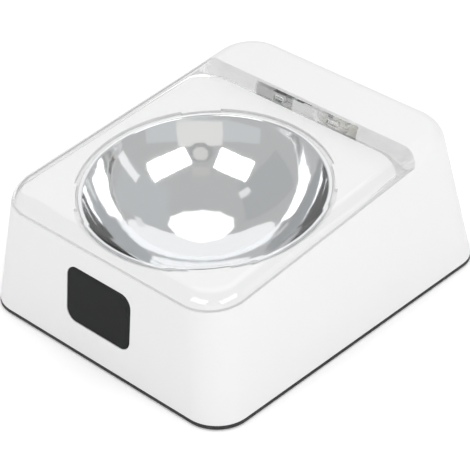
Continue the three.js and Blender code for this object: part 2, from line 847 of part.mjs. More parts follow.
// A flanged bush: the flange lies inside, against the bearing block.
function shaftBush() {
  const bore = shaftRadius + runningGap;
  return turned([
    [bore, -bushFlangeThickness - seatGap],
    [bushFlange, -bushFlangeThickness - seatGap],
    [bushFlange, -seatGap],
    [bushRadius, -seatGap],
    [bushRadius, bearingWidth],
    [bore, bearingWidth],
    [bore, -bushFlangeThickness - seatGap],
  ]);
}

// Gearbox, motor and bracket: drawn round the output shaft

function gearboxHousing() {
  const shape = roundedRectangle(gearboxDepth, gearboxHeight, gearboxCorner);
  const lower = new THREE.Matrix4().makeTranslation(0, 0, gearboxTop - gearboxHeight / 2);
  return cut(
    join(
      profile(shape, gearboxStart, gearboxWidth, alongX, lower),
      axle(gearboxTop, gearboxStart - noseLength, noseLength + overrun, [0, 0]),
    ),
    axle(outputRadius + runningGap, gearboxStart - noseLength - overrun, outputReach + noseLength + overrun, [0, 0]),
  );
}

function motorCan() {
  const start = gearboxStart + gearboxWidth + seatGap;
  const flats = box(
    [start, -motorRadius, -motorDrop - motorFlats / 2],
    [motorLength, 2 * motorRadius, motorFlats],
  );
  return join(
    axle(motorRadius, start, motorLength, [0, -motorDrop]).intersect(flats),
    axle(motorCapRadius, start + motorLength - overrun, motorCap + overrun, [0, -motorDrop]),
  );
}

function motorBracket() {
  const [along, top] = [bracketAlong, -bracketTop];
  const shape = shapeOf([
    [along, top],
    [along, -bracketDrop],
    [along + bracketSheet, -bracketDrop],
    [along + bracketSheet, top - bracketSheet],
    [along + bracketFlange, top - bracketSheet],
    [along + bracketFlange, top],
  ]);
  const gusset = shapeOf([
    [along + bracketSheet / 2, top - bracketSheet / 2],
    [along + bracketSheet / 2, top - bracketFlange],
    [along + bracketFlange - bracketSheet, top - bracketSheet / 2],
  ]);
  const gussets = [
    bracketStart,
    bracketStart + (bracketLength - bracketSheet) / 2,
    bracketStart + bracketLength - bracketSheet,
  ];
  const holes = bracketScrewX.map((x) =>
    rod(
      pilotRadius + slipGap,
      [x, bracketScrewAlong, top - bracketSheet - overrun],
      bracketSheet + 2 * overrun,
      undefined,
      smallSides,
    ),
  );
  return cut(
    join(
      profile(shape, bracketStart, bracketLength),
      ...gussets.map((x) => profile(gusset, x, bracketSheet)),
    ),
    ...holes,
  );
}

// A pan-head screw along +Z, its head's underside at zero.
function screw(reach) {
  return turned(
    [
      [0, -headHeight],
      [headRadius - headHeight / 2, -headHeight],
      [headRadius, -headHeight / 2],
      [headRadius, 0],
      [screwRadius, 0],
      [screwRadius, reach - screwRadius],
      [0, reach],
    ],
    undefined,
    smallSides,
  );
}

// Base plate: screw pads, board standoffs and a lip that stands inside the housing

function basePlate() {
  const lipOutside = housingWall + seatGap;
  const lipTop = plateThickness + lipHeight;
  const lip = cut(
    loft([0, lipTop].map((height) => levelRing(housingOutline(lipOutside), height))),
    loft([-overrun, lipTop + overrun].map((height) => levelRing(housingOutline(lipOutside + lipThickness), height))),
  );
  const padTop = plateThickness + padHeight;
  const pads = baseScrews.map(([x, y]) => rod(padRadius, [x, y, 0], padTop, undefined, smallSides));
  const postTop = plateThickness + standoffHeight;
  const posts = standoffs.map(([x, y]) => rod(standoffRadius, [x, y, 0], postTop, undefined, smallSides));
  const screwCuts = baseScrews.flatMap(([x, y]) => [
    rod(headRadius + seatGap, [x, y, -overrun], overrun + headHeight + seatGap, undefined, smallSides),
    rod(pilotRadius + slipGap, [x, y, 0], padTop + overrun, undefined, smallSides),
  ]);
  const pilots = standoffs.map(([x, y]) =>
    rod(pilotRadius, [x, y, plateThickness + overrun], standoffHeight, undefined, smallSides),
  );
  const footCuts = feet.map(([x, y]) => rod(footRadius + seatGap, [x, y, -overrun], overrun + footHeight - footProud + seatGap));
  const openingY = boxMiddle - doorLength / 2 - seatGap;
  const openingLength = doorLength + doorTravel + 2 * seatGap;
  const upperHalf = doorWidth / 2 + seatGap;
  const lowerHalf = upperHalf - doorLedge;
  const doorCuts = [
    box([-upperHalf, openingY, doorLowerEdge], [2 * upperHalf, openingLength, plateThickness]),
    box([-lowerHalf, openingY, -overrun], [2 * lowerHalf, openingLength, plateThickness]),
  ];
  return cut(
    join(
      loft([0, plateThickness].map((height) => levelRing(housingOutline(0), height))),
      lip,
      ...pads,
      ...posts,
    ),
    ...screwCuts,
    ...pilots,
    ...footCuts,
    ...doorCuts,
  );
}

function rubberFoot() {
  const edge = footProud / 2;
  return turned([
    [0, -footProud],
    [footRadius - edge, -footProud],
    [footRadius, edge - footProud],
    [footRadius, footHeight - footProud],
    [0, footHeight - footProud],
  ]);
}

// The door slides rearwards under the box: its upper half runs on the ledges beside the opening.
function batteryDoor() {
  const start = boxMiddle - doorLength / 2;
  const lowerWidth = doorWidth - 2 * doorLedge;
  const split = doorLowerEdge + seatGap;
  const grip = new THREE.Matrix4().makeTranslation(0, start + doorLength - gripRadius - doorTravel, 0);
  return cut(
    join(
      box([-doorWidth / 2, start, split], [doorWidth, doorLength, plateThickness - split]),
      box([-lowerWidth / 2, start, gripDepth / 2], [lowerWidth, doorLength, split]),
    ),
    rod(gripRadius, [0, 0, -overrun], overrun + gripDepth + gripDepth / 2, grip),
  );
}

// Battery box: open below, with half-height dividers that hang between the cells
function batteryBox() {
  const floor = plateThickness + seatGap;
  const roof = cellHeight + cellRadius + seatGap;
  const inner = [boxLength + 2 * seatGap, boxSpan + 2 * seatGap];
  const outer = inner.map((size) => size + 2 * boxWall);
  const flange = outer.map((size) => size + 2 * boxFlange);
  const centred = ([width, depth], low, high) =>
    box([-width / 2, boxMiddle - depth / 2, low], [width, depth, high - low]);
  const dividers = [1, 2, 3].map((i) => {
    const y = boxMiddle - boxSpan / 2 + i * cellPitch - (cellPitch - 2 * cellRadius - 2 * slipGap) / 2;
    const width = cellPitch - 2 * cellRadius - 2 * slipGap;
    return box([-cellLength / 4, y, cellHeight], [cellLength / 2, width, cellRadius + seatGap + boxWall / 2]);
  });
  return join(
    cut(
      join(centred(outer, floor, roof + boxWall), centred(flange, floor, floor + boxWall)),
      centred(inner, floor - overrun, roof),
      axle(leadRadius + seatGap, -boxLength / 2 - 2 * boxWall, 2 * boxWall, [batteryLeadY, cellHeight], undefined, smallSides),
    ),
    ...dividers,
  );
}

// A cell lies along X, its nub towards +X.
function cell() {
  const half = (cellLength + nubLength) / 2;
  const crimp = nubLength / 2;
  return turned(
    [
      [0, -half],
      [cellRadius - crimp, -half],
      [cellRadius, crimp - half],
      [cellRadius, half - nubLength - crimp],
      [cellRadius - crimp, half - nubLength],
      [nubRadius, half - nubLength],
      [nubRadius, half],
      [0, half],
    ],
    alongX,
  );
}

// A contact plate with its springs and pips towards +X, one for each cell.
function batteryContact(firstIsSpring) {
  const sheet = box([0, -boxSpan / 2 + contactGap, -contactHeight / 2], [
    contactSheet,
    boxSpan - 2 * contactGap,
    contactHeight,
  ]);
  const touches = Array.from({ length: cellCount }, (_, i) => {
    const isSpring = i % 2 === 0 ? firstIsSpring : !firstIsSpring;
    const along = (i + 1 / 2) * cellPitch - boxSpan / 2;
    const turn = new THREE.Matrix4().makeTranslation(0, along, 0).multiply(alongX);
    const foot = isSpring ? nubRadius * 2 : nubRadius;
    return rod(foot, [0, 0, contactSheet / 2], contactGap - seatGap, turn, smallSides, foot / 2);
  });
  return join(sheet, ...touches);
}

// Control board with its chip, sockets and capacitor on top
function controlBoard() {
  const foot = plateThickness + standoffHeight + seatGap;
  const top = foot + boardSheet;
  const [left, front] = [boardX - boardWidth / 2, boardY - boardLength / 2];
  const sunk = boardSheet / 2;
  const holes = standoffs.map(([x, y]) =>
    rod(pilotRadius + slipGap, [x, y, foot - overrun], boardSheet + 2 * overrun, undefined, smallSides),
  );
  return cut(
    join(
      box([left, front, foot], [boardWidth, boardLength, boardSheet]),
      box([boardX - chipSide / 2, boardY - chipSide / 4, top - sunk], [chipSide, chipSide, chipHeight + sunk]),
      ...socketX.map((x) =>
        box([x - plugWidth / 2, socketFront, top - sunk], [plugWidth, plugDepth, plugHeight + sunk]),
      ),
      rod(capacitorRadius, [boardX + boardWidth / 3, boardY, top - sunk], capacitorHeight + sunk),
    ),
    ...holes,
  );
}

// Sensor: the window, the holder with its two light tunnels, the board and the infrared pair
// Drawn along +Z inwards from the wall's face.

function sensorWindow() {
  const pane = roundedRectangle(
    windowWidth - 2 * windowGap,
    windowHeight - 2 * windowGap,
    windowCorner - windowGap,
  );
  const flange = roundedRectangle(
    windowWidth + 2 * windowFlange,
    windowHeight + 2 * windowFlange,
    windowCorner + windowFlange,
  );
  const flat = new THREE.Matrix4();
  const back = housingWall + seatGap;
  return join(
    profile(pane, windowInset, back + windowSheet - windowInset, flat),
    profile(flange, back, windowSheet, flat),
  );
}

function sensorHolder() {
  const earWidth = postSpacing + 2 * postRadius;
  const tunnels = [-1, 1].map((side) => (side * tunnelSpacing) / 2);
  const length = holderSheet + tunnelLength;
  return cut(
    join(
      box([-holderWidth / 2, -holderHeight / 2, holderFront], [holderWidth, holderHeight, holderSheet]),
      box([-earWidth / 2, -postRadius, holderFront], [earWidth, 2 * postRadius, earThickness]),
      ...tunnels.map((x) => rod(tunnelRadius, [x, 0, holderFront], length)),
    ),
    ...tunnels.map((x) => rod(ledRadius + slipGap, [x, 0, holderFront - overrun], length + 2 * overrun)),
    ...[-1, 1].map((side) =>
      rod(
        pilotRadius + slipGap,
        [(side * postSpacing) / 2, 0, holderFront - overrun],
        earThickness + 2 * overrun,
        undefined,
        smallSides,
      ),
    ),
  );
}

// A lamp with a domed front and a flange that stands on the board.
function infraredLamp() {
  const shoulder = ledLength - ledRadius;
  const dome = [1, 2, 3, 4].map((i) => {
    const turn = (i / 4) * quarter;
    return [ledRadius * Math.cos(turn), shoulder + ledRadius * Math.sin(turn)];
  });
  return turned([
    [0, 0],
    [ledFlange, 0],
    [ledFlange, ledFlangeHeight],
    [ledRadius, ledFlangeHeight],
    [ledRadius, shoulder],
    ...dome.slice(0, -1),
    [0, ledLength],
  ]);
}

// Power switch: drawn with +Y out of the rear wall

function powerSwitch() {
  const bezel = [switchWidth + 2 * bezelEdge, switchHeight + 2 * bezelEdge];
  const pocket = [rockerWidth + 2 * rockerGap, rockerHeight + 2 * rockerGap];
  const pocketDepth = rockerDepth + 2 * rockerGap;
  return cut(
    join(
      box([-bezel[0] / 2, seatGap, -bezel[1] / 2], [bezel[0], bezelHeight, bezel[1]]),
      box([-switchWidth / 2, -switchDepth, -switchHeight / 2], [switchWidth, switchDepth + overrun, switchHeight]),
    ),
    box([-pocket[0] / 2, bezelHeight - pocketDepth, -pocket[1] / 2], [pocket[0], pocketDepth + overrun, pocket[1]]),
  );
}

// The rocker's face is a shallow V, and its ends are arcs round the pivot, so they clear the bezel as it tips.
function powerRocker() {
  const reach = rockerHeight / 2;
  const side = Math.asin(rockerRise / reach);
  const shape = new THREE.Shape();
  shape.moveTo(0, rockerRise / 2);
  shape.lineTo(reach * Math.cos(side), reach * Math.sin(side));
  shape.absarc(0, 0, reach, side, -side, true);
  shape.lineTo(reach / 2, bezelHeight - rockerDepth);
  shape.lineTo(-reach / 2, bezelHeight - rockerDepth);
  shape.absarc(0, 0, reach, Math.PI + side, Math.PI - side, true);
  shape.closePath();
  const turn = new THREE.Matrix4().makeBasis(
    new THREE.Vector3(0, 0, 1),
    new THREE.Vector3(0, 1, 0),
    new THREE.Vector3(-1, 0, 0),
  );
  return profile(shape, -rockerWidth / 2, rockerWidth, turn);
}

function foodBowl() {
  const arc = (radius, from, to) =>
    Array.from({ length: bowlSteps + 1 }, (_, i) => {
      const angle = from + ((to - from) * i) / bowlSteps;
      return [radius * Math.sin(angle), sphereRise - radius * Math.cos(angle)];
    });
  const bendMiddle = bowlRim + bowlBend * Math.sin(rimAngle);
  const bend = (radius) =>
    [1 / 2, 0].map((share) => {
      const angle = rimAngle * share;
      return [bendMiddle - radius * Math.sin(angle), radius * Math.cos(angle) - bowlBend];
    });
  const rimRound = bowlSteel / 2;
  return turned(
    [
      ...arc(sphereRadius + bowlSteel, 0, rimAngle),
      ...bend(bowlBend - bowlSteel),
      [flangeRadius - bowlSteel, -bowlSteel],
      [flangeRadius - bowlSteel, -flangeLip],
      [flangeRadius, -flangeLip],
      [flangeRadius, -rimRound],
      [flangeRadius - rimRound, 0],
      ...bend(bowlBend).reverse(),
      ...arc(sphereRadius, rimAngle, 0),
    ],
    undefined,
    bowlSides,
  );
}

// A lead runs from two given points, over a table of shares, to one of the board's sockets.
function lead(start, shares, socket) {
  const end = new THREE.Vector3(socketX[socket], socketFront - seatGap, socketMiddle);
  const rising = new THREE.Vector3(end.x, end.y - 2 * plugDepth, plateThickness + standoffHeight / 2);
  const level = new THREE.Vector3(end.x, end.y - plugDepth, end.z - leadRadius / 2);
  const scale = new THREE.Vector3(baseWidth / 2, baseLength / 2, topHeight);
  const middle = shares.map((share) => new THREE.Vector3(...share).multiply(scale));
  const curve = new THREE.CatmullRomCurve3([...start, ...middle, rising, level, end]);
  const section = shapeOf(
    Array.from({ length: leadSides }, (_, i) => {
      const angle = (i / leadSides) * 4 * quarter;
      return [leadRadius * Math.cos(angle), leadRadius * Math.sin(angle)];
    }),
  );
  const geometry = new THREE.ExtrudeGeometry(section, {
    steps: Math.round(curve.getLength() / leadStep),
    bevelEnabled: false,
    extrudePath: curve,
  });
  return solid(geometry);
}

// Finishes

const finish = (color, roughness, metalness = 0, extra = {}) =>
  new THREE.MeshStandardMaterial({ color, roughness, metalness, ...extra });
const white = finish(0xf2f2f0, 0.35);
const black = finish(0x2b2b2d, 0.5);
const glossBlack = finish(0x26282c, 0.15);
const clear = finish(0xe8ecec, 0.05, 0, { transparent: true, opacity: 0.3 });
const steel = finish(0xc8cacc, 0.08, 1);
const nylon = finish(0xe6e4dc, 0.6);
const brass = finish(0xb99a4a, 0.35, 1);
const zinc = finish(0xa8abae, 0.4, 1);
const rubber = finish(0x1d1d1e, 0.9);
const boardGreen = finish(0x1f5a38, 0.6);
const cellWrap = finish(0x3c4046, 0.4, 0.3);
const smoked = finish(0x30243a, 0.15);
const leadGrey = finish(0x6e7276, 0.6);

// Assembly

const feeder = new THREE.Group();
feeder.position.z = footProud;

function group(matrix, parent = feeder) {
  const made = new THREE.Group();
  matrix.decompose(made.position, made.quaternion, made.scale);
  parent.add(made);
  return made;
}

addPiece(feeder, "upper_housing", upperHousing(), white);
addPiece(feeder, "base_plate", basePlate(), black);
addPiece(feeder, "lid", lidShell(), clear);

const slope = group(slopeMatrix);
const hinge = group(new THREE.Matrix4().makeTranslation(0, ...hingePlace), slope);
addPiece(hinge, "lid_drive_arm", driveArm(), white);
addPiece(hinge, "hinge_shaft", axle(shaftRadius, -shaftLength / 2, shaftLength, [0, 0]), steel);
for (const [name, side] of [["shaft_bush_left", -1], ["shaft_bush_right", 1]]) {
  const bush = addPiece(hinge, name, shaftBush(), brass);
  bush.position.x = (side * (bearingSpacing - bearingWidth)) / 2;
  bush.rotation.y = side * quarter;
}

const drive = group(new THREE.Matrix4().makeTranslation(0, ...pinionPlace), slope);
addPiece(drive, "drive_gear", driveGear(), nylon);
const outputStart = -gearWidth / 2 - overrun / 2;
const outputEnd = gearboxStart + outputReach - seatGap;
addPiece(drive, "drive_shaft", axle(outputRadius, outputStart, outputEnd - outputStart, [0, 0]), steel);
addPiece(drive, "gearbox_housing", gearboxHousing(), nylon);
addPiece(drive, "motor", motorCan(), zinc);
addPiece(slope, "motor_bracket", motorBracket(), zinc);
bracketScrewX.forEach((x, i) => {
  const made = addPiece(slope, `bracket_screw_${i + 1}`, screw(bracketSheet + shortReach - overrun), zinc);
  made.position.set(x, bracketScrewAlong, -bracketTop - bracketSheet - slipGap);
});

const bowl = addPiece(slope, "food_bowl", foodBowl(), steel);
bowl.position.set(0, bowlSetback, flangeTop);

baseScrews.forEach(([x, y], i) => {
  const made = addPiece(feeder, `base_screw_${i + 1}`, screw(padHeight + screwReach - overrun), zinc);
  made.position.set(x, y, headHeight + slipGap);
});
feet.forEach(([x, y], i) => {
  const made = addPiece(feeder, `rubber_foot_${i + 1}`, rubberFoot(), rubber);
  made.position.set(x, y, 0);
});

addPiece(feeder, "battery_door", batteryDoor(), black);
addPiece(feeder, "battery_box", batteryBox(), black);
for (let i = 0; i < cellCount; i++) {
  const made = addPiece(feeder, `battery_${i + 1}`, cell(), cellWrap);
  made.position.set(0, boxMiddle + (i + 1 / 2) * cellPitch - boxSpan / 2, cellHeight);
  made.rotation.z = i % 2 === 0 ? 0 : Math.PI;
}
for (const [name, side] of [["battery_contact_left", -1], ["battery_contact_right", 1]]) {
  const made = addPiece(feeder, name, batteryContact(true), zinc);
  made.position.set((side * boxLength) / 2, boxMiddle, cellHeight);
  made.rotation.z = side < 0 ? 0 : Math.PI;
}

addPiece(feeder, "control_board", controlBoard(), boardGreen);
[standoffs[0], standoffs[3]].forEach(([x, y], i) => {
  const made = addPiece(feeder, `board_screw_${i + 1}`, screw(shortReach), zinc);
  made.position.set(x, y, plateThickness + standoffHeight + seatGap + boardSheet + slipGap);
  made.rotation.x = Math.PI;
});

const sensor = group(windowMatrix.clone().multiply(new THREE.Matrix4().makeRotationX(-quarter)));
addPiece(sensor, "sensor_window", sensorWindow(), glossBlack);
addPiece(sensor, "sensor_holder", sensorHolder(), black);
const sensorBoard = box([-holderWidth / 2, -holderHeight / 2, boardFront], [holderWidth, holderHeight, boardSheet]);
addPiece(sensor, "sensor_board", sensorBoard, boardGreen);
for (const [name, side] of [["ir_emitter", -1], ["ir_receiver", 1]]) {
  const made = addPiece(sensor, name, infraredLamp(), smoked);
  made.position.set((side * tunnelSpacing) / 2, 0, boardFront - seatGap);
  made.rotation.x = Math.PI;
}
[-1, 1].forEach((side, i) => {
  const made = addPiece(sensor, `holder_screw_${i + 1}`, screw(shortReach), zinc);
  made.position.set((side * postSpacing) / 2, 0, holderFront + earThickness + slipGap);
  made.rotation.x = Math.PI;
});

const leadStart = (matrix, ends) => ends.map((end) => new THREE.Vector3(...end).applyMatrix4(matrix));
const boardBack = boardFront + boardSheet + seatGap;
const sensorStart = leadStart(
  windowMatrix.clone().multiply(new THREE.Matrix4().makeRotationX(-quarter)),
  [boardBack, boardBack + plugDepth].map((z) => [-holderWidth / 3, holderHeight / 4, z]),
);
const batteryStart = leadStart(
  new THREE.Matrix4(),
  [seatGap, 2 * boxWall, boxWall + boxFlange + plugDepth].map((run) => [-boxLength / 2 - run, batteryLeadY, cellHeight]),
);
const capFace = gearboxStart + gearboxWidth + seatGap + motorLength + motorCap + seatGap;
const motorStart = leadStart(
  slopeMatrix.clone().multiply(new THREE.Matrix4().makeTranslation(0, ...pinionPlace)),
  [capFace, capFace + plugDepth].map((x) => [x, 0, -motorDrop]),
);
addPiece(feeder, "sensor_cable", lead(sensorStart, sensorLeadShares, 0), leadGrey);
addPiece(feeder, "battery_cable", lead(batteryStart, batteryLeadShares, 1), leadGrey);
addPiece(feeder, "motor_cable", lead(motorStart, motorLeadShares, 2), leadGrey);

const rear = group(switchMatrix);
addPiece(rear, "power_switch", powerSwitch(), black);
const rocker = addPiece(rear, "power_rocker", powerRocker(), black);
rocker.position.y = bezelHeight;
rocker.rotation.x = rockerTilt;

export default feeder;
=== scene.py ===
import math

import bmesh
import bpy
from bpy.props import FloatProperty, FloatVectorProperty, IntProperty, PointerProperty
from mathutils import Matrix, Vector


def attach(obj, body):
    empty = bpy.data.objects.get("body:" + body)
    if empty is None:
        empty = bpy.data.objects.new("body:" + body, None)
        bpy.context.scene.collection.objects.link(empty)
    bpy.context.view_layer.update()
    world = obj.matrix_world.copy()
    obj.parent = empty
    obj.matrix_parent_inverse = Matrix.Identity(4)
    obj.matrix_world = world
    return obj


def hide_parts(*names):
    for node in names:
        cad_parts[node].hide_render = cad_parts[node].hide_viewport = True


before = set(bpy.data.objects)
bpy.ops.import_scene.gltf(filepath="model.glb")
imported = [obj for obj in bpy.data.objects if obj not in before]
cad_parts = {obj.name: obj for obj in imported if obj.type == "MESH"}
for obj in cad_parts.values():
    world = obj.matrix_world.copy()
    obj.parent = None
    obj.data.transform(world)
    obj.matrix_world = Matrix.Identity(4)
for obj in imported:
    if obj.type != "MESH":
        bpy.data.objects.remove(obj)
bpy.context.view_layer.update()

bl_info = {
    "name": "Sensor Cat Feeder",
    "version": (1, 0, 0),
    "blender": (4, 5, 0),
    "location": "3D View > Sidebar > Feeder",
    "description": "Housing, clear lid, steel bowl and inner parts of a sensor cat feeder",
    "category": "Object",
}

QUARTER = math.pi / 2
STILL = Matrix()
ALONG_X = Matrix(((0, 0, 1, 0), (1, 0, 0, 0), (0, 1, 0, 0), (0, 0, 0, 1)))
ALONG_FRONT = Matrix.Rotation(QUARTER, 4, "X")

OVERRUN = 0.001  # how far a cut runs past the face that it opens
PLATE = 0.0023  # thickness of the base plate under the housing's foot
RUNNING_GAP = 8e-5  # round a shaft that turns
SLIP_GAP = 1e-4  # round a piece that fits in a hole
BOARD_X, BOARD_Y = 0.054, 0.044  # middle of the control board, from the left and the rear
POST_X, POST_Y = 0.024, 0.013  # from there to the posts under it


# Sizes and colours that a user may change


def length(name, default, description):
    return FloatProperty(
        name=name, description=description, default=default, unit="LENGTH", subtype="DISTANCE"
    )


def ratio(name, default, description):
    return FloatProperty(name=name, description=description, default=default, subtype="FACTOR")


def angle(name, default, description):
    return FloatProperty(
        name=name,
        description=description,
        default=math.radians(default),
        unit="ROTATION",
        subtype="ANGLE",
    )


def count(name, default, description):
    return IntProperty(name=name, description=description, default=default, min=3)


def colour(name, default, description):
    return FloatVectorProperty(
        name=name, description=description, default=default, size=3, min=0, max=1, subtype="COLOR"
    )


class BodySizes(bpy.types.PropertyGroup):
    """The drafted outer body, its deck and its hump"""

    base_width: length("Base width", 0.2, "Across the foot of the housing")
    base_length: length("Base length", 0.252, "From the front to the rear at the foot")
    top_height: length("Top height", 0.0951, "Of the top plane over the middle of the base")
    foot_proud: length("Foot stand", 0.001, "How far the rubber feet lift the body")
    top_slope: ratio("Top slope", 0.092, "Rise of the top plane towards the rear")
    side_draft: ratio("Side draft", 0.117, "Inward run of a side for each unit of height")
    front_draft: ratio("Front draft", 0.081, "Inward run of the front")
    rear_draft: ratio("Rear draft", 0.219, "Inward run of the rear")
    corner_radius: length("Corner radius", 0.0226, "Of the upright corners at the foot")
    corner_growth: ratio("Corner growth", 0.04, "How much that radius grows with height")
    top_fillet: length("Top fillet", 0.0107, "Rounding of the upper edge")
    wall: length("Wall", 0.0024, "Thickness of the housing's wall")
    seat_gap: length("Seat gap", 0.0003, "Between a piece and what carries it")
    parting_depth: length("Parting depth", 0.00935, "Of the line under the lid's edge")
    deck_depth: length("Deck depth", 0.0105, "Of the deck under the top plane")
    deck_thickness: length("Deck thickness", 0.0022, "Of the sheet that forms the deck")
    rim_width: length("Rim width", 0.0023, "Of the ledge round the deck")
    hump_edge: length("Hump edge", 0.0632, "The hump's front edge, along the slope")
    hump_lean: ratio("Hump lean", 0.35, "How far its front wall comes forward with depth")
    hump_wall: length("Hump wall", 0.0018, "Thickness of the hump's front wall")
    roof: length("Roof", 0.0018, "Thickness of the hump's roof")
    foot_corner: length("Foot corner", 0.034, "Plan radius of the bends at the ends of that wall's foot")
    foot_inset: length("Foot inset", 0.04, "From the side of the base to the middle of such a bend")
    foot_turn: angle("Foot turn", 35.0, "Where the bend runs out past the rim")
    crest_overrun: length("Crest overrun", 0.0003, "How far the crest's curve runs past the body")
    slot_width: length("Slot width", 0.084, "Of the opening under the hood")
    slot_top: length("Slot top", 0.0027, "Depth of its upper edge")


class BowlSizes(bpy.types.PropertyGroup):
    """The steel bowl and the recess that holds it"""

    setback: length("Setback", -0.0319, "The bowl's axis along the slope")
    rim: length("Rim radius", 0.0742, "Where the round wall meets the flange")
    depth: length("Depth", 0.05, "From the flange to the bottom")
    steel: length("Steel", 0.0009, "Thickness of the sheet")
    flange: length("Flange radius", 0.077, "Of the flat rim")
    lip: length("Lip", 0.0015, "Height of the flange's turned edge")
    bend: length("Bend", 0.0016, "Radius between the round wall and the flange")
    sink: length("Sink", 0.0005, "How far the flange lies under the deck")
    recess: length("Recess radius", 0.0802, "Of the round hollow in the deck")
    land: length("Land radius", 0.0784, "Of the four lands that centre the flange")
    land_span: angle("Land span", 18.0, "Width of a land round the recess")
    well_wall: length("Well wall", 0.002, "Thickness of the well under the bowl")
    well_room: length("Well room", 0.003, "Between the bowl and the well")
    throat_gap: length("Throat gap", 0.0005, "Round the bowl where it passes the deck")


class LidSizes(bpy.types.PropertyGroup):
    """The clear lid, its arms and the toothed drive"""

    plate: length("Plate", 0.0024, "Thickness of the lid's top")
    wall: length("Wall", 0.0019, "Thickness of the lid's sides")
    rear_gap: length("Rear gap", 0.0008, "Between the lid and the hump")
    hinge_setback: length("Hinge setback", 0.009, "Of the shaft behind the hump's edge")
    hinge_depth: length("Hinge depth", 0.0056, "Of the shaft under the top plane")
    shaft: length("Shaft radius", 0.0015, "Of the hinge shaft")
    shaft_length: length("Shaft length", 0.118, "Of the hinge shaft")
    hub: length("Hub radius", 0.0032, "Of the arms' hubs on the shaft")
    arm_gap: length("Arm gap", 0.00035, "Between the hood's edge and the arms")
    arm_thickness: length("Arm thickness", 0.00225, "Of the curved arms")
    arm_width: length("Arm width", 0.007, "Of a clear arm")
    arm_spacing: length("Arm spacing", 0.044, "Between the clear arms")
    sweep_gap: length("Sweep gap", 0.0004, "Round the arms where they sweep the deck")
    web: length("Web", 0.0022, "Thickness of an arm's web")
    drive_width: length("Drive arm width", 0.02, "Of the white arm in the middle")
    drive_start: angle("Drive arm start", 171.0, "Where its curve begins, round the shaft")
    drive_end: angle("Drive arm end", 240.0, "Where its curve ends")
    tooth_start: angle("Tooth start", 243.0, "Where the toothed sector begins")
    module: length("Gear module", 0.001, "Pitch diameter for each tooth")
    sector_teeth: count("Sector teeth", 24, "Of the sector's full circle")
    sector_cut: count("Sector teeth cut", 7, "Teeth that the sector really has")
    pressure: angle("Pressure angle", 20.0, "Of the involute teeth")
    mesh_angle: angle("Mesh angle", 265.0, "Direction of the pinion from the shaft")
    gear_width: length("Gear width", 0.008, "Of both gears")
    backlash: ratio("Backlash", 0.25, "Play between the teeth, in modules")


class BaseSizes(bpy.types.PropertyGroup):
    """The base plate, its door, feet and screws"""

    plate: length("Plate", 0.0023, "Thickness of the base plate")
    edge: length("Edge", 0.0004, "Rounding of its edges")
    lip: length("Lip", 0.004, "Height of the lip inside the housing")
    lip_sheet: length("Lip sheet", 0.0016, "Thickness of that lip")
    pad: length("Pad", 0.0022, "Height of the pads round the screws")
    pad_radius: length("Pad radius", 0.005, "Of these pads")
    standoff: length("Standoff", 0.008, "Height of the posts under the control board")
    standoff_radius: length("Standoff radius", 0.003, "Of these posts")
    screw_inset: length("Screw inset", 0.015, "From the edges to the base screws")
    screw: length("Screw radius", 0.00125, "Of the shanks")
    screw_reach: length("Screw reach", 0.0122, "Of a base screw above its head")
    head: length("Head radius", 0.0028, "Of the screw heads")
    head_height: length("Head height", 0.0018, "Of the screw heads")
    foot_radius: length("Foot radius", 0.008, "Of a rubber foot")
    foot_height: length("Foot height", 0.0017, "Of a rubber foot")
    foot_inset_x: length("Foot inset X", 0.025, "From the sides to the feet")
    foot_inset_y: length("Foot inset Y", 0.028, "From the front and rear to the feet")
    door_width: length("Door width", 0.0581, "Of the battery door")
    door_length: length("Door length", 0.066, "Of the battery door")
    door_travel: length("Door travel", 0.006, "Room behind the door")
    door_ledge: length("Door ledge", 0.0015, "Of the ledges that the door runs on")
    door_lower: length("Door lower edge", 0.0009, "Height of these ledges")
    grip_radius: length("Grip radius", 0.009, "Of the thumb hollow in the door")
    grip_depth: length("Grip depth", 0.00075, "Of that hollow")


class FinishColours(bpy.types.PropertyGroup):
    """Colours of the finishes"""

    housing: colour("Housing", (0.845, 0.845, 0.845), "Moulded white plastic")
    lid: colour("Lid", (0.985, 0.99, 0.99), "Clear plastic")
    steel: colour("Steel", (0.74, 0.75, 0.76), "Polished steel")
    window: colour("Window", (0.009, 0.0094, 0.01), "Dark sensor window")
    base: colour("Base", (0.022, 0.022, 0.023), "Black plastic")
    rubber: colour("Rubber", (0.012, 0.012, 0.012), "Feet")
    zinc: colour("Zinc", (0.55, 0.56, 0.57), "Plated sheet and screws")
    brass: colour("Brass", (0.62, 0.45, 0.18), "Bushes")
    nylon: colour("Nylon", (0.74, 0.72, 0.65), "Gears and gearbox")
    board: colour("Board", (0.015, 0.1, 0.04), "Circuit boards")
    cells: colour("Cells", (0.05, 0.06, 0.075), "Wrap of the batteries")
    lamp: colour("Lamp", (0.02, 0.012, 0.03), "Smoked infrared lamps")
    sheath: colour("Sheath", (0.1, 0.105, 0.11), "Of the inner leads")


class StudioSizes(bpy.types.PropertyGroup):
    """Camera and light"""

    azimuth: angle("Azimuth", 42.62, "Of the camera, from the front towards the right")
    elevation: angle("Elevation", 35.06, "Of the camera")
    lens: FloatProperty(name="Lens", description="Focal length", default=150.0, unit="CAMERA")
    camera: FloatVectorProperty(
        name="Camera place",
        description="Where the camera stands",
        default=(0.6788, -0.7417, 0.7371),
        size=3,
        subtype="XYZ",
        unit="LENGTH",
    )
    room: ratio("Room light", 0.93, "Strength of the even light from the world")
    through: ratio("Backdrop through the lid", 0.74, "Strength of the backdrop behind clear plastic")
    gleam: ratio("Gleam light", 0.52, "Strength of the room as polished pieces mirror it")


GROUPS = (BodySizes, BowlSizes, LidSizes, BaseSizes, FinishColours, StudioSizes)


def sizes():
    scene = bpy.context.scene
    return scene.feeder_body, scene.feeder_bowl, scene.feeder_lid


# Meshes


def new_object(name, mesh):
    made = bpy.data.objects.new(name, mesh)
    bpy.context.scene.collection.objects.link(made)
    return made


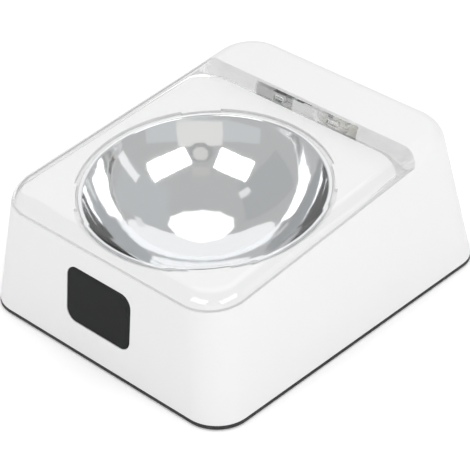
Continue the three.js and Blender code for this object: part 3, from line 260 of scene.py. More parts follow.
def remove(obj):
    mesh = obj.data
    bpy.data.objects.remove(obj)
    if mesh is not None and mesh.users == 0:
        bpy.data.meshes.remove(mesh)


def closed(name, points, faces, matrix=STILL):
    """A closed mesh with its faces outwards."""
    mesh = bpy.data.meshes.new(name)
    mesh.from_pydata([matrix @ Vector(point) for point in points], [], faces)
    work = bmesh.new()
    work.from_mesh(mesh)
    bmesh.ops.remove_doubles(work, verts=work.verts, dist=1e-7)
    # Ruled walls bend, so both sides of the body and the lid take the same, shorter diagonals
    quads = [face for face in work.faces if len(face.verts) == 4]
    bmesh.ops.triangulate(work, faces=quads, quad_method="SHORT_EDGE")
    bmesh.ops.recalc_face_normals(work, faces=work.faces)
    work.to_mesh(mesh)
    work.free()
    return new_object(name, mesh)


def loft(name, rings, matrix=STILL):
    """A closed skin over rings of equal counts."""
    per = len(rings[0])
    last = len(rings) - 1
    faces = [tuple(range(per)), tuple(last * per + i for i in range(per))]
    for ring in range(last):
        low, high = ring * per, (ring + 1) * per
        for i in range(per):
            j = (i + 1) % per
            faces.append((low + i, low + j, high + j, high + i))
    return closed(name, [point for ring in rings for point in ring], faces, matrix)


def extruded(name, outline, start, depth, matrix=STILL):
    """A flat outline drawn in X and Y, carried along Z."""
    rings = [[(x, y, z) for x, y in outline] for z in (start, start + depth)]
    return loft(name, rings, matrix)


def box(name, low, size, matrix=STILL):
    (x, y, z), (width, depth, height) = low, size
    outline = [(x, y), (x + width, y), (x + width, y + depth), (x, y + depth)]
    return extruded(name, outline, z, height, matrix)


def rod(name, radius, start, depth, matrix=STILL, sides=48):
    turn = [2 * math.pi * i / sides for i in range(sides)]
    outline = [(radius * math.cos(a), radius * math.sin(a)) for a in turn]
    return extruded(name, outline, start, depth, matrix)


def axle(name, radius, start, depth, along, up, matrix=STILL, sides=48):
    """A rod along X."""
    place = matrix @ Matrix.Translation((0, along, up)) @ ALONG_X
    return rod(name, radius, start, depth, place, sides)


def rounded_rectangle(width, height, radius, steps=12):
    x, y = width / 2 - radius, height / 2 - radius
    points = []
    for turn, (right, up) in enumerate(((1, 1), (-1, 1), (-1, -1), (1, -1))):
        for step in range(steps + 1):
            a = (turn + step / steps) * QUARTER
            points.append((right * x + radius * math.cos(a), up * y + radius * math.sin(a)))
    return points


def arc(radius, start, end, steps):
    turn = [start + (end - start) * i / steps for i in range(steps + 1)]
    return [(radius * math.cos(a), radius * math.sin(a)) for a in turn]


def settle(obj):
    """Turns what the modifiers make into the object's plain mesh."""
    graph = bpy.context.evaluated_depsgraph_get()
    mesh = bpy.data.meshes.new_from_object(
        obj.evaluated_get(graph), preserve_all_data_layers=True, depsgraph=graph
    )
    old = obj.data
    obj.modifiers.clear()
    obj.data = mesh
    if old.users == 0:
        bpy.data.meshes.remove(old)
    if not mesh.polygons:
        raise RuntimeError(f"{obj.name} came out empty")
    return obj


def combine(body, operation, tools):
    for tool in tools:
        modifier = body.modifiers.new(operation.title(), "BOOLEAN")
        modifier.operation = operation
        modifier.solver = "MANIFOLD"
        modifier.object = tool
    settle(body)
    for tool in tools:
        remove(tool)
    return body


def cut(body, *tools):
    return combine(body, "DIFFERENCE", tools)


def join(body, *tools):
    return combine(body, "UNION", tools)


def common(body, tool):
    return combine(body, "INTERSECT", [tool])


def smooth(obj, limit=math.radians(32)):
    """Smooth faces with sharp edges past a limit, weighed so that flat faces stay flat."""
    work = bmesh.new()
    work.from_mesh(obj.data)
    bmesh.ops.remove_doubles(work, verts=work.verts, dist=2e-6)
    if any(len(edge.link_faces) != 2 for edge in work.edges):
        # Merging its near-double corners would open this skin, so they stay
        work.clear()
        work.from_mesh(obj.data)
    for face in work.faces:
        face.smooth = True
    for edge in work.edges:
        edge.smooth = len(edge.link_faces) == 2 and edge.calc_face_angle(math.pi) < limit
    work.to_mesh(obj.data)
    work.free()
    weighted = obj.modifiers.new("Weighted", "WEIGHTED_NORMAL")
    weighted.keep_sharp = True
    weighted.weight = 50
    return settle(obj)


def finish_piece(obj, name, body, nodes, material, limit=math.radians(32)):
    smooth(obj, limit)
    obj.name = name
    obj.data.name = name
    obj.data.materials.clear()
    obj.data.materials.append(material)
    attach(obj, body)
    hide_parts(*nodes)
    return obj


# Geometry node trees


def node_tree(name, inputs):
    tree = bpy.data.node_groups.new(name, "GeometryNodeTree")
    tree.interface.new_socket("Geometry", in_out="INPUT", socket_type="NodeSocketGeometry")
    for label, kind in inputs:
        tree.interface.new_socket(label, in_out="INPUT", socket_type=kind)
    tree.interface.new_socket("Geometry", in_out="OUTPUT", socket_type="NodeSocketGeometry")
    return tree


def set_inputs(obj, tree, values):
    """Adds the tree to an object with its inputs set, each by its socket's identifier."""
    modifier = obj.modifiers.new(tree.name, "NODES")
    modifier.node_group = tree
    for item in tree.interface.items_tree:
        if item.item_type == "SOCKET" and item.in_out == "INPUT" and item.name in values:
            modifier[item.identifier] = values[item.name]
    return modifier


def wire(tree, made, socket, *sources):
    """Joins outputs or plain values to a node's inputs from the given socket on."""
    for offset, source in enumerate(sources):
        target = made.inputs[socket + offset]
        if isinstance(source, bpy.types.NodeSocket):
            tree.links.new(source, target)
        else:
            target.default_value = source
    return made


def maths(tree, operation, *values):
    made = tree.nodes.new("ShaderNodeMath")
    made.operation = operation
    return wire(tree, made, 0, *values).outputs[0]


def dressed_output(tree, start, geometry):
    """Ends a tree with real faces that carry its Finish."""
    nodes, links = tree.nodes, tree.links
    real = wire(tree, nodes.new("GeometryNodeRealizeInstances"), 0, geometry)
    dressed = nodes.new("GeometryNodeSetMaterial")
    links.new(real.outputs[0], dressed.inputs["Geometry"])
    links.new(start.outputs["Finish"], dressed.inputs["Material"])
    links.new(dressed.outputs[0], nodes.new("NodeGroupOutput").inputs[0])
    return tree


def scaled(tree, colour, share):
    made = tree.nodes.new("ShaderNodeVectorMath")
    made.operation = "SCALE"
    tree.links.new(colour, made.inputs[0])
    tree.links.new(share, made.inputs["Scale"])
    return made.outputs[0]


def grey(tree, level):
    made = tree.nodes.new("ShaderNodeCombineColor")
    for channel in ("Red", "Green", "Blue"):
        tree.links.new(level, made.inputs[channel])
    return made.outputs["Color"]


def turned_tree():
    """A profile's points, radius in X and height in Y, are swung round Z into a closed skin."""
    name = "Turned form"
    if name in bpy.data.node_groups:
        return bpy.data.node_groups[name]
    tree = node_tree(
        name,
        (
            ("Sides", "NodeSocketInt"),
            ("Weld", "NodeSocketFloat"),
            ("Finish", "NodeSocketMaterial"),
        ),
    )
    nodes, links = tree.nodes, tree.links
    start = nodes.new("NodeGroupInput")
    size = nodes.new("GeometryNodeAttributeDomainSize")
    links.new(start.outputs["Geometry"], size.inputs["Geometry"])
    columns = maths(tree, "ADD", start.outputs["Sides"], 1.0)
    rows = size.outputs["Point Count"]
    grid = wire(tree, nodes.new("GeometryNodeMeshGrid"), 0, 1.0, 1.0, columns, rows)
    place = nodes.new("GeometryNodeInputPosition").outputs[0]
    apart = wire(tree, nodes.new("ShaderNodeSeparateXYZ"), 0, place)
    turn = maths(tree, "MULTIPLY", apart.outputs["X"], 2 * math.pi)
    height = maths(tree, "ADD", apart.outputs["Y"], 0.5)
    row = maths(tree, "MULTIPLY", height, maths(tree, "SUBTRACT", rows, 1.0))
    sample = nodes.new("GeometryNodeSampleIndex")
    sample.data_type = "FLOAT_VECTOR"
    links.new(start.outputs["Geometry"], sample.inputs["Geometry"])
    links.new(place, sample.inputs["Value"])
    links.new(maths(tree, "ROUND", row), sample.inputs["Index"])
    point = wire(tree, nodes.new("ShaderNodeSeparateXYZ"), 0, sample.outputs["Value"])
    across = maths(tree, "MULTIPLY", point.outputs["X"], maths(tree, "COSINE", turn))
    along = maths(tree, "MULTIPLY", point.outputs["X"], maths(tree, "SINE", turn))
    spot = wire(tree, nodes.new("ShaderNodeCombineXYZ"), 0, across, along, point.outputs["Y"])
    moved = nodes.new("GeometryNodeSetPosition")
    links.new(grid.outputs["Mesh"], moved.inputs["Geometry"])
    links.new(spot.outputs[0], moved.inputs["Position"])
    welded = nodes.new("GeometryNodeMergeByDistance")
    links.new(moved.outputs[0], welded.inputs["Geometry"])
    links.new(start.outputs["Weld"], welded.inputs["Distance"])
    return dressed_output(tree, start, welded.outputs[0])


def turned(name, profile, matrix=STILL, sides=48, material=None):
    """A form turned round Z from points of radius and height; it closes on the axis or on itself."""
    mesh = bpy.data.meshes.new(name)
    mesh.from_pydata([(r, h, 0) for r, h in profile], [], [])
    made = new_object(name, mesh)
    set_inputs(made, turned_tree(), {"Sides": sides, "Weld": 1e-6, "Finish": material})
    settle(made)
    work = bmesh.new()
    work.from_mesh(made.data)
    bmesh.ops.recalc_face_normals(work, faces=work.faces)
    bmesh.ops.transform(work, matrix=matrix, verts=work.verts)
    work.to_mesh(made.data)
    work.free()
    return made


def repeated_tree():
    """One form is set on each point and turned as that point's mark says."""
    name = "Repeated form"
    if name in bpy.data.node_groups:
        return bpy.data.node_groups[name]
    tree = node_tree(
        name,
        (
            ("Form", "NodeSocketObject"),
            ("Scale", "NodeSocketFloat"),
            ("Finish", "NodeSocketMaterial"),
        ),
    )
    nodes, links = tree.nodes, tree.links
    start = nodes.new("NodeGroupInput")
    form = nodes.new("GeometryNodeObjectInfo")
    form.inputs["As Instance"].default_value = True
    links.new(start.outputs["Form"], form.inputs["Object"])
    mark = nodes.new("GeometryNodeInputNamedAttribute")
    mark.data_type = "FLOAT_VECTOR"
    mark.inputs["Name"].default_value = "turn"
    turn = nodes.new("FunctionNodeEulerToRotation")
    links.new(mark.outputs["Attribute"], turn.inputs[0])
    spread = nodes.new("GeometryNodeInstanceOnPoints")
    links.new(start.outputs["Geometry"], spread.inputs["Points"])
    links.new(form.outputs["Geometry"], spread.inputs["Instance"])
    links.new(turn.outputs[0], spread.inputs["Rotation"])
    links.new(start.outputs["Scale"], spread.inputs["Scale"])
    return dressed_output(tree, start, spread.outputs[0])


def repeated(name, form, places, material):
    """Copies of a form, each at the place and turn of a matrix."""
    mesh = bpy.data.meshes.new(name)
    mesh.from_pydata([place.to_translation() for place in places], [], [])
    marks = mesh.attributes.new("turn", "FLOAT_VECTOR", "POINT")
    for mark, place in zip(marks.data, places):
        mark.vector = place.to_euler()
    made = new_object(name, mesh)
    set_inputs(made, repeated_tree(), {"Form": form, "Scale": 1.0, "Finish": material})
    settle(made)
    remove(form)
    return made


# The drafted body, as its moulds give it


def slope_matrix(body):
    height = body.top_height + body.foot_proud
    return Matrix.Translation((0, 0, height)) @ Matrix.Rotation(math.atan(body.top_slope), 4, "X")


def drafted_outline(half, front, rear, front_corner, rear_corner, steps=16):
    """Points of an outline, each as its place at the foot and its move with height."""
    corners = (
        (1, 1, rear, rear_corner),
        (-1, 1, rear, rear_corner),
        (-1, -1, front, front_corner),
        (1, -1, front, front_corner),
    )
    outline = []
    for turn, (right, back, edge, radius) in enumerate(corners):
        for step in range(steps + 1):
            a = (turn + step / steps) * QUARTER
            outline.append(
                [
                    (
                        right * (half[i] - radius[i]) + radius[i] * math.cos(a),
                        edge[i] - back * radius[i] + radius[i] * math.sin(a),
                    )
                    for i in (0, 1)
                ]
            )
    return outline


def housing_outline(body, inset):
    corner = (body.corner_radius - inset, body.corner_growth)
    return drafted_outline(
        (body.base_width / 2 - inset, -body.side_draft),
        (inset - body.base_length / 2, body.front_draft),
        (body.base_length / 2 - inset, -body.rear_draft),
        corner,
        corner,
    )


def level_ring(body, outline, height):
    return [
        (x + dx * height, y + dy * height, height + body.foot_proud)
        for (x, y), (dx, dy) in outline
    ]


def slope_ring(body, outline, depth):
    stretch = math.hypot(1, body.top_slope)
    ring = []
    for (x, y), (dx, dy) in outline:
        height = body.top_height - depth * stretch + body.top_slope * y
        height /= 1 - body.top_slope * dy
        ring.append((x + dx * height, y + dy * height, height + body.foot_proud))
    return ring


def rounded_body(body, name, inset, top_depth, fillet, floor, steps=12):
    """The body up to a plane under the top plane, its upper edge rounded all round."""
    rings = [level_ring(body, housing_outline(body, inset), floor)]
    for i in range(steps + 1):
        turn = i / steps * QUARTER
        outline = housing_outline(body, inset + fillet * (1 - math.cos(turn)))
        rings.append(slope_ring(body, outline, top_depth + fillet * (1 - math.sin(turn))))
    return loft(name, rings)


def slab(body, name, inset, start, end):
    """What lies between two planes under the top plane, as wide and long as the body."""
    rings = [slope_ring(body, housing_outline(body, inset), depth) for depth in (end, start)]
    return loft(name, rings)


def lid_space(body, name, run, floor, bottom=None, steps=16):
    """The space before the hump, its wall ruled from the foot's bends up to the crest."""
    matrix = slope_matrix(body)
    tilt = math.atan(body.top_slope)
    corner = body.foot_corner + run
    half = body.base_width / 2

    def foot(depth, turn):
        a = body.foot_turn + (QUARTER - body.foot_turn) * turn
        along = body.hump_edge - body.hump_lean * depth - body.foot_corner + corner * math.sin(a)
        return half - body.foot_inset + corner * math.cos(a), along, depth

    def crest(turn):
        depth = floor - (floor + body.crest_overrun) * math.sin(turn * QUARTER)
        along = body.hump_edge + run - body.hump_lean * depth
        height = body.top_height + along * math.sin(tilt) - depth * math.cos(tilt)
        side = half - body.side_draft * height + body.crest_overrun
        return side - body.top_fillet * (1 - math.cos(turn * QUARTER)), along, depth

    def above(turn):
        return crest(turn)[0], body.hump_edge + run + body.hump_lean * OVERRUN, -OVERRUN

    def ring(place, front_depth):
        right = [place(step / steps) for step in range(steps + 1)]
        left = [(-x, along, depth) for x, along, depth in reversed(right)]
        rear = [matrix @ Vector((x, along, -depth)) for x, along, depth in right + left]
        return rear + slope_ring(body, housing_outline(body, -OVERRUN), front_depth)[len(rear):]

    rings = [ring(lambda turn: foot(floor, turn), floor), ring(crest, floor), ring(above, -OVERRUN)]
    if bottom:
        rings.insert(0, ring(lambda turn: foot(bottom, turn), bottom))
    return loft(name, rings)


# Housing


def bowl_matrix(body, bowl):
    return slope_matrix(body) @ Matrix.Translation((0, bowl.setback, -body.deck_depth))


def sphere(bowl):
    """Radius of the bowl's inner sphere, and how far its middle stands over the flange."""
    radius = (bowl.rim**2 + bowl.depth**2) / (2 * bowl.depth)
    drop = bowl.bend * (1 - math.cos(math.asin(bowl.rim / radius)))
    return radius, radius - bowl.depth - drop


def throat(bowl):
    radius, rise = sphere(bowl)
    return math.sqrt((radius + bowl.steel) ** 2 - rise**2) + bowl.throat_gap


def well_profile(bowl, grow, top, steps=24):
    sphere_radius, rise = sphere(bowl)
    radius = sphere_radius + bowl.steel + bowl.well_room + grow
    middle = rise - bowl.sink
    edge = throat(bowl) + grow
    floor = sphere_radius + bowl.steel + bowl.well_room / 2 + grow - middle
    start, end = math.asin(edge / radius), math.acos((floor + middle) / radius)
    points = [(0, top), (edge, top)]
    for i in range(steps + 1):
        a = start + (end - start) * i / steps
        points.append((radius * math.sin(a), middle - radius * math.cos(a)))
    points.append((0, -floor))
    return points


def seat_depth(body, bowl):
    return bowl.sink + bowl.lip + body.seat_gap


def bowl_recess(body, bowl):
    """The round hollow with four lands on its diagonals."""
    points = []
    half = bowl.land_span / 2
    for i in range(4):
        middle = (i + 0.5) * QUARTER
        points += arc(bowl.land, middle - half, middle + half, 8)
        points += arc(bowl.recess, middle + half, middle + QUARTER - half, 32)
    depth = seat_depth(body, bowl)
    return extruded("Recess", points, -depth, depth + OVERRUN, bowl_matrix(body, bowl))


def hinge_place(body, lid):
    return body.hump_edge + lid.hinge_setback, -lid.hinge_depth


def arm_radii(lid):
    inner = math.hypot(lid.hinge_setback, lid.hinge_depth) + lid.arm_gap
    return inner, inner + lid.arm_thickness


def arm_slot(body, lid):
    """The slot under the hood, with the hollow that the arms sweep."""
    along, up = hinge_place(body, lid)
    front = along - lid.hinge_setback - body.hump_lean * body.deck_depth - OVERRUN
    sweep = arm_radii(lid)[1] + lid.sweep_gap
    deck = math.pi + math.asin((body.deck_depth - lid.hinge_depth) / sweep)
    curve = [(along + x, up + y) for x, y in arc(sweep, 3 * QUARTER, deck, 20)]
    points = [(front, -body.slot_top), (along, -body.slot_top), *curve, (front, -body.deck_depth)]
    start = -body.slot_width / 2
    return extruded("Slot", points, start, body.slot_width, slope_matrix(body) @ ALONG_X)


def window_matrix(body, sensor):
    y = body.front_draft * sensor.middle - body.base_length / 2
    place = Matrix.Translation((0, y, sensor.middle + body.foot_proud))
    return place @ Matrix.Rotation(-math.atan(body.front_draft), 4, "X")


def switch_matrix(body, switch):
    y = body.base_length / 2 - body.rear_draft * switch.middle
    place = Matrix.Translation((switch.across, y, switch.middle + body.foot_proud))
    return place @ Matrix.Rotation(math.atan(body.rear_draft), 4, "X")


class SensorSizes(bpy.types.PropertyGroup):
    """The dark window in the front and what stands behind it"""

    width: length("Width", 0.053, "Of the window's opening")
    height: length("Height", 0.0385, "Of the window's opening")
    corner: length("Corner", 0.008, "Radius of its corners")
    middle: length("Middle", 0.0415, "Height of its middle over the base plate")
    gap: length("Gap", 0.00025, "Round the pane")
    flange: length("Flange", 0.0016, "How far the flange behind reaches past the opening")
    sheet: length("Sheet", 0.0014, "Thickness of the flange")
    inset: length("Inset", 0.00015, "How far the pane lies under the wall's face")


class SwitchSizes(bpy.types.PropertyGroup):
    """The power switch in the rear wall"""

    across: length("Across", 0.058, "Place of the switch from the middle")
    middle: length("Middle", 0.026, "Its height over the base plate")
    width: length("Width", 0.0124, "Of the part in the wall")
    height: length("Height", 0.0184, "Of the part in the wall")
    depth: length("Depth", 0.012, "How far it reaches in")
    bezel_edge: length("Bezel edge", 0.0014, "How far the bezel laps the wall")
    bezel_height: length("Bezel height", 0.0013, "How far the bezel stands proud")
    rocker_width: length("Rocker width", 0.0086, "Of the rocker")
    rocker_height: length("Rocker height", 0.0134, "Of the rocker")
    rocker_gap: length("Rocker gap", 0.00035, "Round the rocker")
    rocker_rise: length("Rocker rise", 0.0014, "Of its ends")
    rocker_depth: length("Rocker depth", 0.0045, "How far the rocker reaches in")
    tilt: angle("Tilt", 8.0, "Of the rocker at rest")


GROUPS += (SensorSizes, SwitchSizes)


class FEEDER_OT_housing(bpy.types.Operator):
    """Makes the white upper housing with its deck, hump, well and openings"""

    bl_idname = "feeder.housing"
    bl_label = "Upper housing"

    def execute(self, context):
        body, bowl, lid = sizes()
        sensor, switch = context.scene.feeder_sensor, context.scene.feeder_switch
        floor = PLATE + body.seat_gap
        shell = rounded_body(body, "Shell", 0, 0, body.top_fillet, floor)
        cavity = rounded_body(
            body, "Cavity", body.wall, body.roof, body.top_fillet - body.wall, floor - body.seat_gap
        )
        under_deck = body.deck_depth + body.deck_thickness
        cut(cavity, lid_space(body, "Deck", body.hump_wall, under_deck))
        cut(shell, cavity)
        place = bowl_matrix(body, bowl)
        well = turned("Well", well_profile(bowl, bowl.well_wall, -body.deck_thickness / 2), place, 96)
        collar = rod(
            "Collar",
            bowl.recess + bowl.well_wall,
            -seat_depth(body, bowl) - bowl.well_wall,
            seat_depth(body, bowl) + bowl.well_wall - body.deck_thickness / 2,
            place,
            96,
        )
        join(well, collar)
        common(well, rounded_body(body, "Limit", 0.0001, 0.0001, body.top_fillet, floor))
        join(shell, well)
        size = (switch.width + 0.0002, body.wall + 2 * OVERRUN, switch.height + 0.0002)
        low = (-size[0] / 2, -body.wall - OVERRUN, -size[2] / 2)
        opening = rounded_rectangle(sensor.width, sensor.height, sensor.corner)
        seam = slab(body, "Seam", -OVERRUN, -OVERRUN, body.parting_depth)
        deck = slab(body, "Deck space", body.rim_width, -OVERRUN, body.deck_depth)
        cut(
            shell,
            common(seam, lid_space(body, "Lid space", 0, body.deck_depth)),
            common(deck, lid_space(body, "Deck wall", 0, body.deck_depth, body.deck_depth + OVERRUN)),
            turned("Well inside", well_profile(bowl, 0, OVERRUN), place, 96),
            bowl_recess(body, bowl),
            arm_slot(body, lid),
            extruded(
                "Opening",
                opening,
                -body.wall - OVERRUN,
                body.wall + 2 * OVERRUN,
                window_matrix(body, sensor) @ ALONG_FRONT,
            ),
            box("Switch opening", low, size, switch_matrix(body, switch)),
        )
        finish_piece(
            shell, "housing_shell", "housing", ["upper_housing"], white_plastic()
        )
        return {"FINISHED"}


# Lid and drive


def hinge_arm(body, lid, middle):
    inner, outer = arm_radii(lid)
    start = middle - lid.arm_width / 2
    place = slope_matrix(body) @ Matrix.Translation((0, *hinge_place(body, lid)))
    sector = arc(outer, 2 * QUARTER, 3 * QUARTER, 24) + arc(inner, 3 * QUARTER, 2 * QUARTER, 24)
    half = lid.web / 2
    web = [(-half, 0), (half, 0), (half, -inner - lid.arm_thickness / 2)]
    web.append((-half, -inner - lid.arm_thickness / 2))
    arm = extruded("Arm", sector, start, lid.arm_width, place @ ALONG_X)
    join(
        arm,
        extruded("Web", web, start, lid.arm_width, place @ ALONG_X),
        axle("Hub", lid.hub, start, lid.arm_width, 0, 0, place),
    )
    through = lid.arm_width + 2 * OVERRUN
    return cut(arm, axle("Bore", lid.shaft + RUNNING_GAP, start - OVERRUN, through, 0, 0, place))


def mark_painted_seam_shade(body, obj, depth):
    """Writes 1 on the narrow faces along the lid's lower edge and 0 elsewhere; the clear finish paints shade
    on these faces, a dark line at the seam.
    """
    up = slope_matrix(body).inverted()
    turn = up.to_3x3()
    values = []
    for face in obj.data.polygons:
        level = -(up @ face.center).z
        down = -(turn @ face.normal).z
        values.append(1.0 if down > 0.9 and abs(level - depth) < OVERRUN / 2 else 0.0)
    rim = obj.data.attributes.new("rim", "FLOAT", "FACE")
    rim.data.foreach_set("value", values)


class FEEDER_OT_lid(bpy.types.Operator):
    """Makes the clear lid with its two hinge arms"""

    bl_idname = "feeder.lid"
    bl_label = "Clear lid"

    def execute(self, context):
        body, _, lid = sizes()
        floor = PLATE + body.seat_gap
        shell = rounded_body(body, "Lid", 0, 0, body.top_fillet, floor)
        foot = body.parting_depth - body.seat_gap
        common(shell, lid_space(body, "Lid block", -lid.rear_gap, body.deck_depth - body.seat_gap))
        common(shell, slab(body, "Lid seam", -OVERRUN, -OVERRUN, foot))
        inner = rounded_body(
            body, "Lid inside", lid.wall, lid.plate, body.top_fillet - lid.wall, floor
        )
        run = -lid.rear_gap - lid.wall
        rise = body.parting_depth - lid.wall
        common(inner, lid_space(body, "Inner block", run, rise, body.parting_depth + OVERRUN))
        cut(shell, inner)
        arms = [hinge_arm(body, lid, side * lid.arm_spacing / 2) for side in (-1, 1)]
        join(shell, *arms)
        mark_painted_seam_shade(body, shell, foot)
        finish_piece(shell, "clear_lid", "lid", ["lid"], clear_plastic())
        return {"FINISHED"}


def involute(a):
    return math.tan(a) - a


def tooth_half_angle(lid, pitch, teeth, radius):
    base = pitch * math.cos(lid.pressure)
    flank = involute(math.acos(min(1.0, base / radius)))
    play = lid.backlash * lid.module / (4 * pitch)
    return math.pi / (2 * teeth) - play + involute(lid.pressure) - flank


def tooth_points(lid, teeth, cut_teeth, first):
    """Outline of a run of involute teeth."""
    pitch = lid.module * teeth / 2
    root, tip = pitch - 1.1 * lid.module, pitch + 0.8 * lid.module
    start = max(root, pitch * math.cos(lid.pressure))
    radii = [start + (tip - start) * i / 6 for i in range(7)]
    if root < start:
        radii.insert(0, root)
    half = [tooth_half_angle(lid, pitch, teeth, max(radius, start)) for radius in radii]
    points = []
    for tooth in range(cut_teeth):
        middle = first + tooth * 2 * math.pi / teeth
        points += [(radius, middle - a) for radius, a in zip(radii, half)]
        points += [(radius, middle + a) for radius, a in reversed(list(zip(radii, half)))]
    return [(radius * math.cos(a), radius * math.sin(a)) for radius, a in points]


class FEEDER_OT_drive(bpy.types.Operator):
    """Makes the white drive arm with its toothed sector"""

    bl_idname = "feeder.drive"
    bl_label = "Drive arm"

    def execute(self, context):
        body, _, lid = sizes()
        inner, outer = arm_radii(lid)
        hinge = hinge_place(body, lid)
        place = slope_matrix(body) @ Matrix.Translation((0, *hinge)) @ ALONG_X
        width = lid.drive_width
        sector = arc(outer, lid.drive_start, lid.drive_end, 20)
        sector += arc(inner, lid.drive_end, lid.drive_start, 20)
        hook = extruded("Hook", sector, -width / 2, width, place)
        face = lid.hinge_setback + lid.rear_gap - SLIP_GAP
        edge = []
        for depth in (0, body.parting_depth + lid.hinge_depth + OVERRUN):
            edge.append((-face - body.hump_lean * depth, lid.hinge_depth - depth))
        behind = [edge[0], edge[1], (outer, edge[1][1] - outer), (outer, edge[0][1] + outer)]
        common(hook, extruded("Behind lid", behind, -width / 2 - OVERRUN, width + 2 * OVERRUN, place))
        shoulder = [
            (outer * math.cos(a), outer * math.sin(a))
            for a in (2 * lid.drive_end - lid.tooth_start, lid.drive_end)
        ]
        first = lid.mesh_angle - 2 * math.pi / lid.sector_teeth
        teeth = tooth_points(lid, lid.sector_teeth, lid.sector_cut, first)
        plate = extruded(
            "Sector", [(0, 0), *shoulder, *teeth], -lid.gear_width / 2, lid.gear_width, place
        )
        join(hook, plate, rod("Hub", lid.hub, -width / 2, width, place))
        cut(hook, rod("Bore", lid.shaft + RUNNING_GAP, -width / 2 - OVERRUN, width + 2 * OVERRUN, place))
        finish_piece(hook, "drive_arm", "lid", ["lid_drive_arm"], white_plastic())
        return {"FINISHED"}


# Bowl


class FEEDER_OT_bowl(bpy.types.Operator):
    """Makes the polished steel bowl"""

    bl_idname = "feeder.bowl"
    bl_label = "Steel bowl"

    def execute(self, context):
        body, bowl, _ = sizes()
        radius, rise = sphere(bowl)
        edge = math.asin(bowl.rim / radius)
        middle = bowl.rim + bowl.bend * math.sin(edge)
        lip = bowl.steel / 2

        def wall(size, start, end, steps=48):
            turn = [start + (end - start) * i / steps for i in range(steps + 1)]
            return [(size * math.sin(a), rise - size * math.cos(a)) for a in turn]

        def bend(size, start, end, steps=8):
            turn = [start + (end - start) * i / steps for i in range(1, steps + 1)]
            return [(middle - size * math.sin(a), size * math.cos(a) - bowl.bend) for a in turn]

        profile = wall(radius + bowl.steel, 0, edge) + bend(bowl.bend - bowl.steel, edge, 0)
        profile += [
            (bowl.flange - bowl.steel, -bowl.steel),
            (bowl.flange - bowl.steel, -bowl.lip),
            (bowl.flange, -bowl.lip),
        ]
        for i in range(7):
            a = i / 6 * QUARTER
            profile.append((bowl.flange - lip + lip * math.cos(a), -lip + lip * math.sin(a)))
        profile.append((middle, 0))
        profile += bend(bowl.bend, 0, edge) + wall(radius, edge, 0)[1:]
        place = bowl_matrix(body, bowl) @ Matrix.Translation((0, 0, -bowl.sink))
        made = turned("Bowl", profile, place, 160)
        finish_piece(
            made, "steel_bowl", "bowl", ["food_bowl"], polished_steel(), math.radians(50)
        )
        return {"FINISHED"}


# Sensor window


class FEEDER_OT_sensor(bpy.types.Operator):
    """Makes the dark window in the front"""

    bl_idname = "feeder.sensor"
    bl_label = "Sensor window"

    def execute(self, context):
        body = context.scene.feeder_body
        sensor = context.scene.feeder_sensor
        place = window_matrix(body, sensor) @ Matrix.Rotation(-QUARTER, 4, "X")
        width, height = sensor.width - 2 * sensor.gap, sensor.height - 2 * sensor.gap
        back = body.wall + body.seat_gap
        bend = 0.0004
        rings = []
        for i in range(5):
            a = i / 4 * QUARTER
            inset = bend * (1 - math.sin(a))
            outline = rounded_rectangle(
                width - 2 * inset, height - 2 * inset, sensor.corner - sensor.gap - inset
            )
            depth = sensor.inset + bend * (1 - math.cos(a))
            rings.append([(x, y, depth) for x, y in outline])
        outline = rounded_rectangle(width, height, sensor.corner - sensor.gap)
        rings.append([(x, y, back + sensor.sheet) for x, y in outline])
        pane = loft("Pane", rings, place)
        flange = rounded_rectangle(
            sensor.width + 2 * sensor.flange,
            sensor.height + 2 * sensor.flange,
            sensor.corner + sensor.flange,
        )
        join(pane, extruded("Flange", flange, back, sensor.sheet, place))
        finish_piece(
            pane, "dark_window", "housing", ["sensor_window"], dark_window()
        )
        return {"FINISHED"}


# Base plate, door, feet and screws


def corners_of(x, y, rows=(-1, 1)):
    return [(side * x, end * y) for side in (-1, 1) for end in rows]


def screw_places(body, base):
    x, y = body.base_width / 2 - base.screw_inset, body.base_length / 2 - base.screw_inset
    return corners_of(x, y, (-1, 0, 1))


def foot_places(body, base):
    x, y = body.base_width / 2 - base.foot_inset_x, body.base_length / 2 - base.foot_inset_y
    return corners_of(x, y)


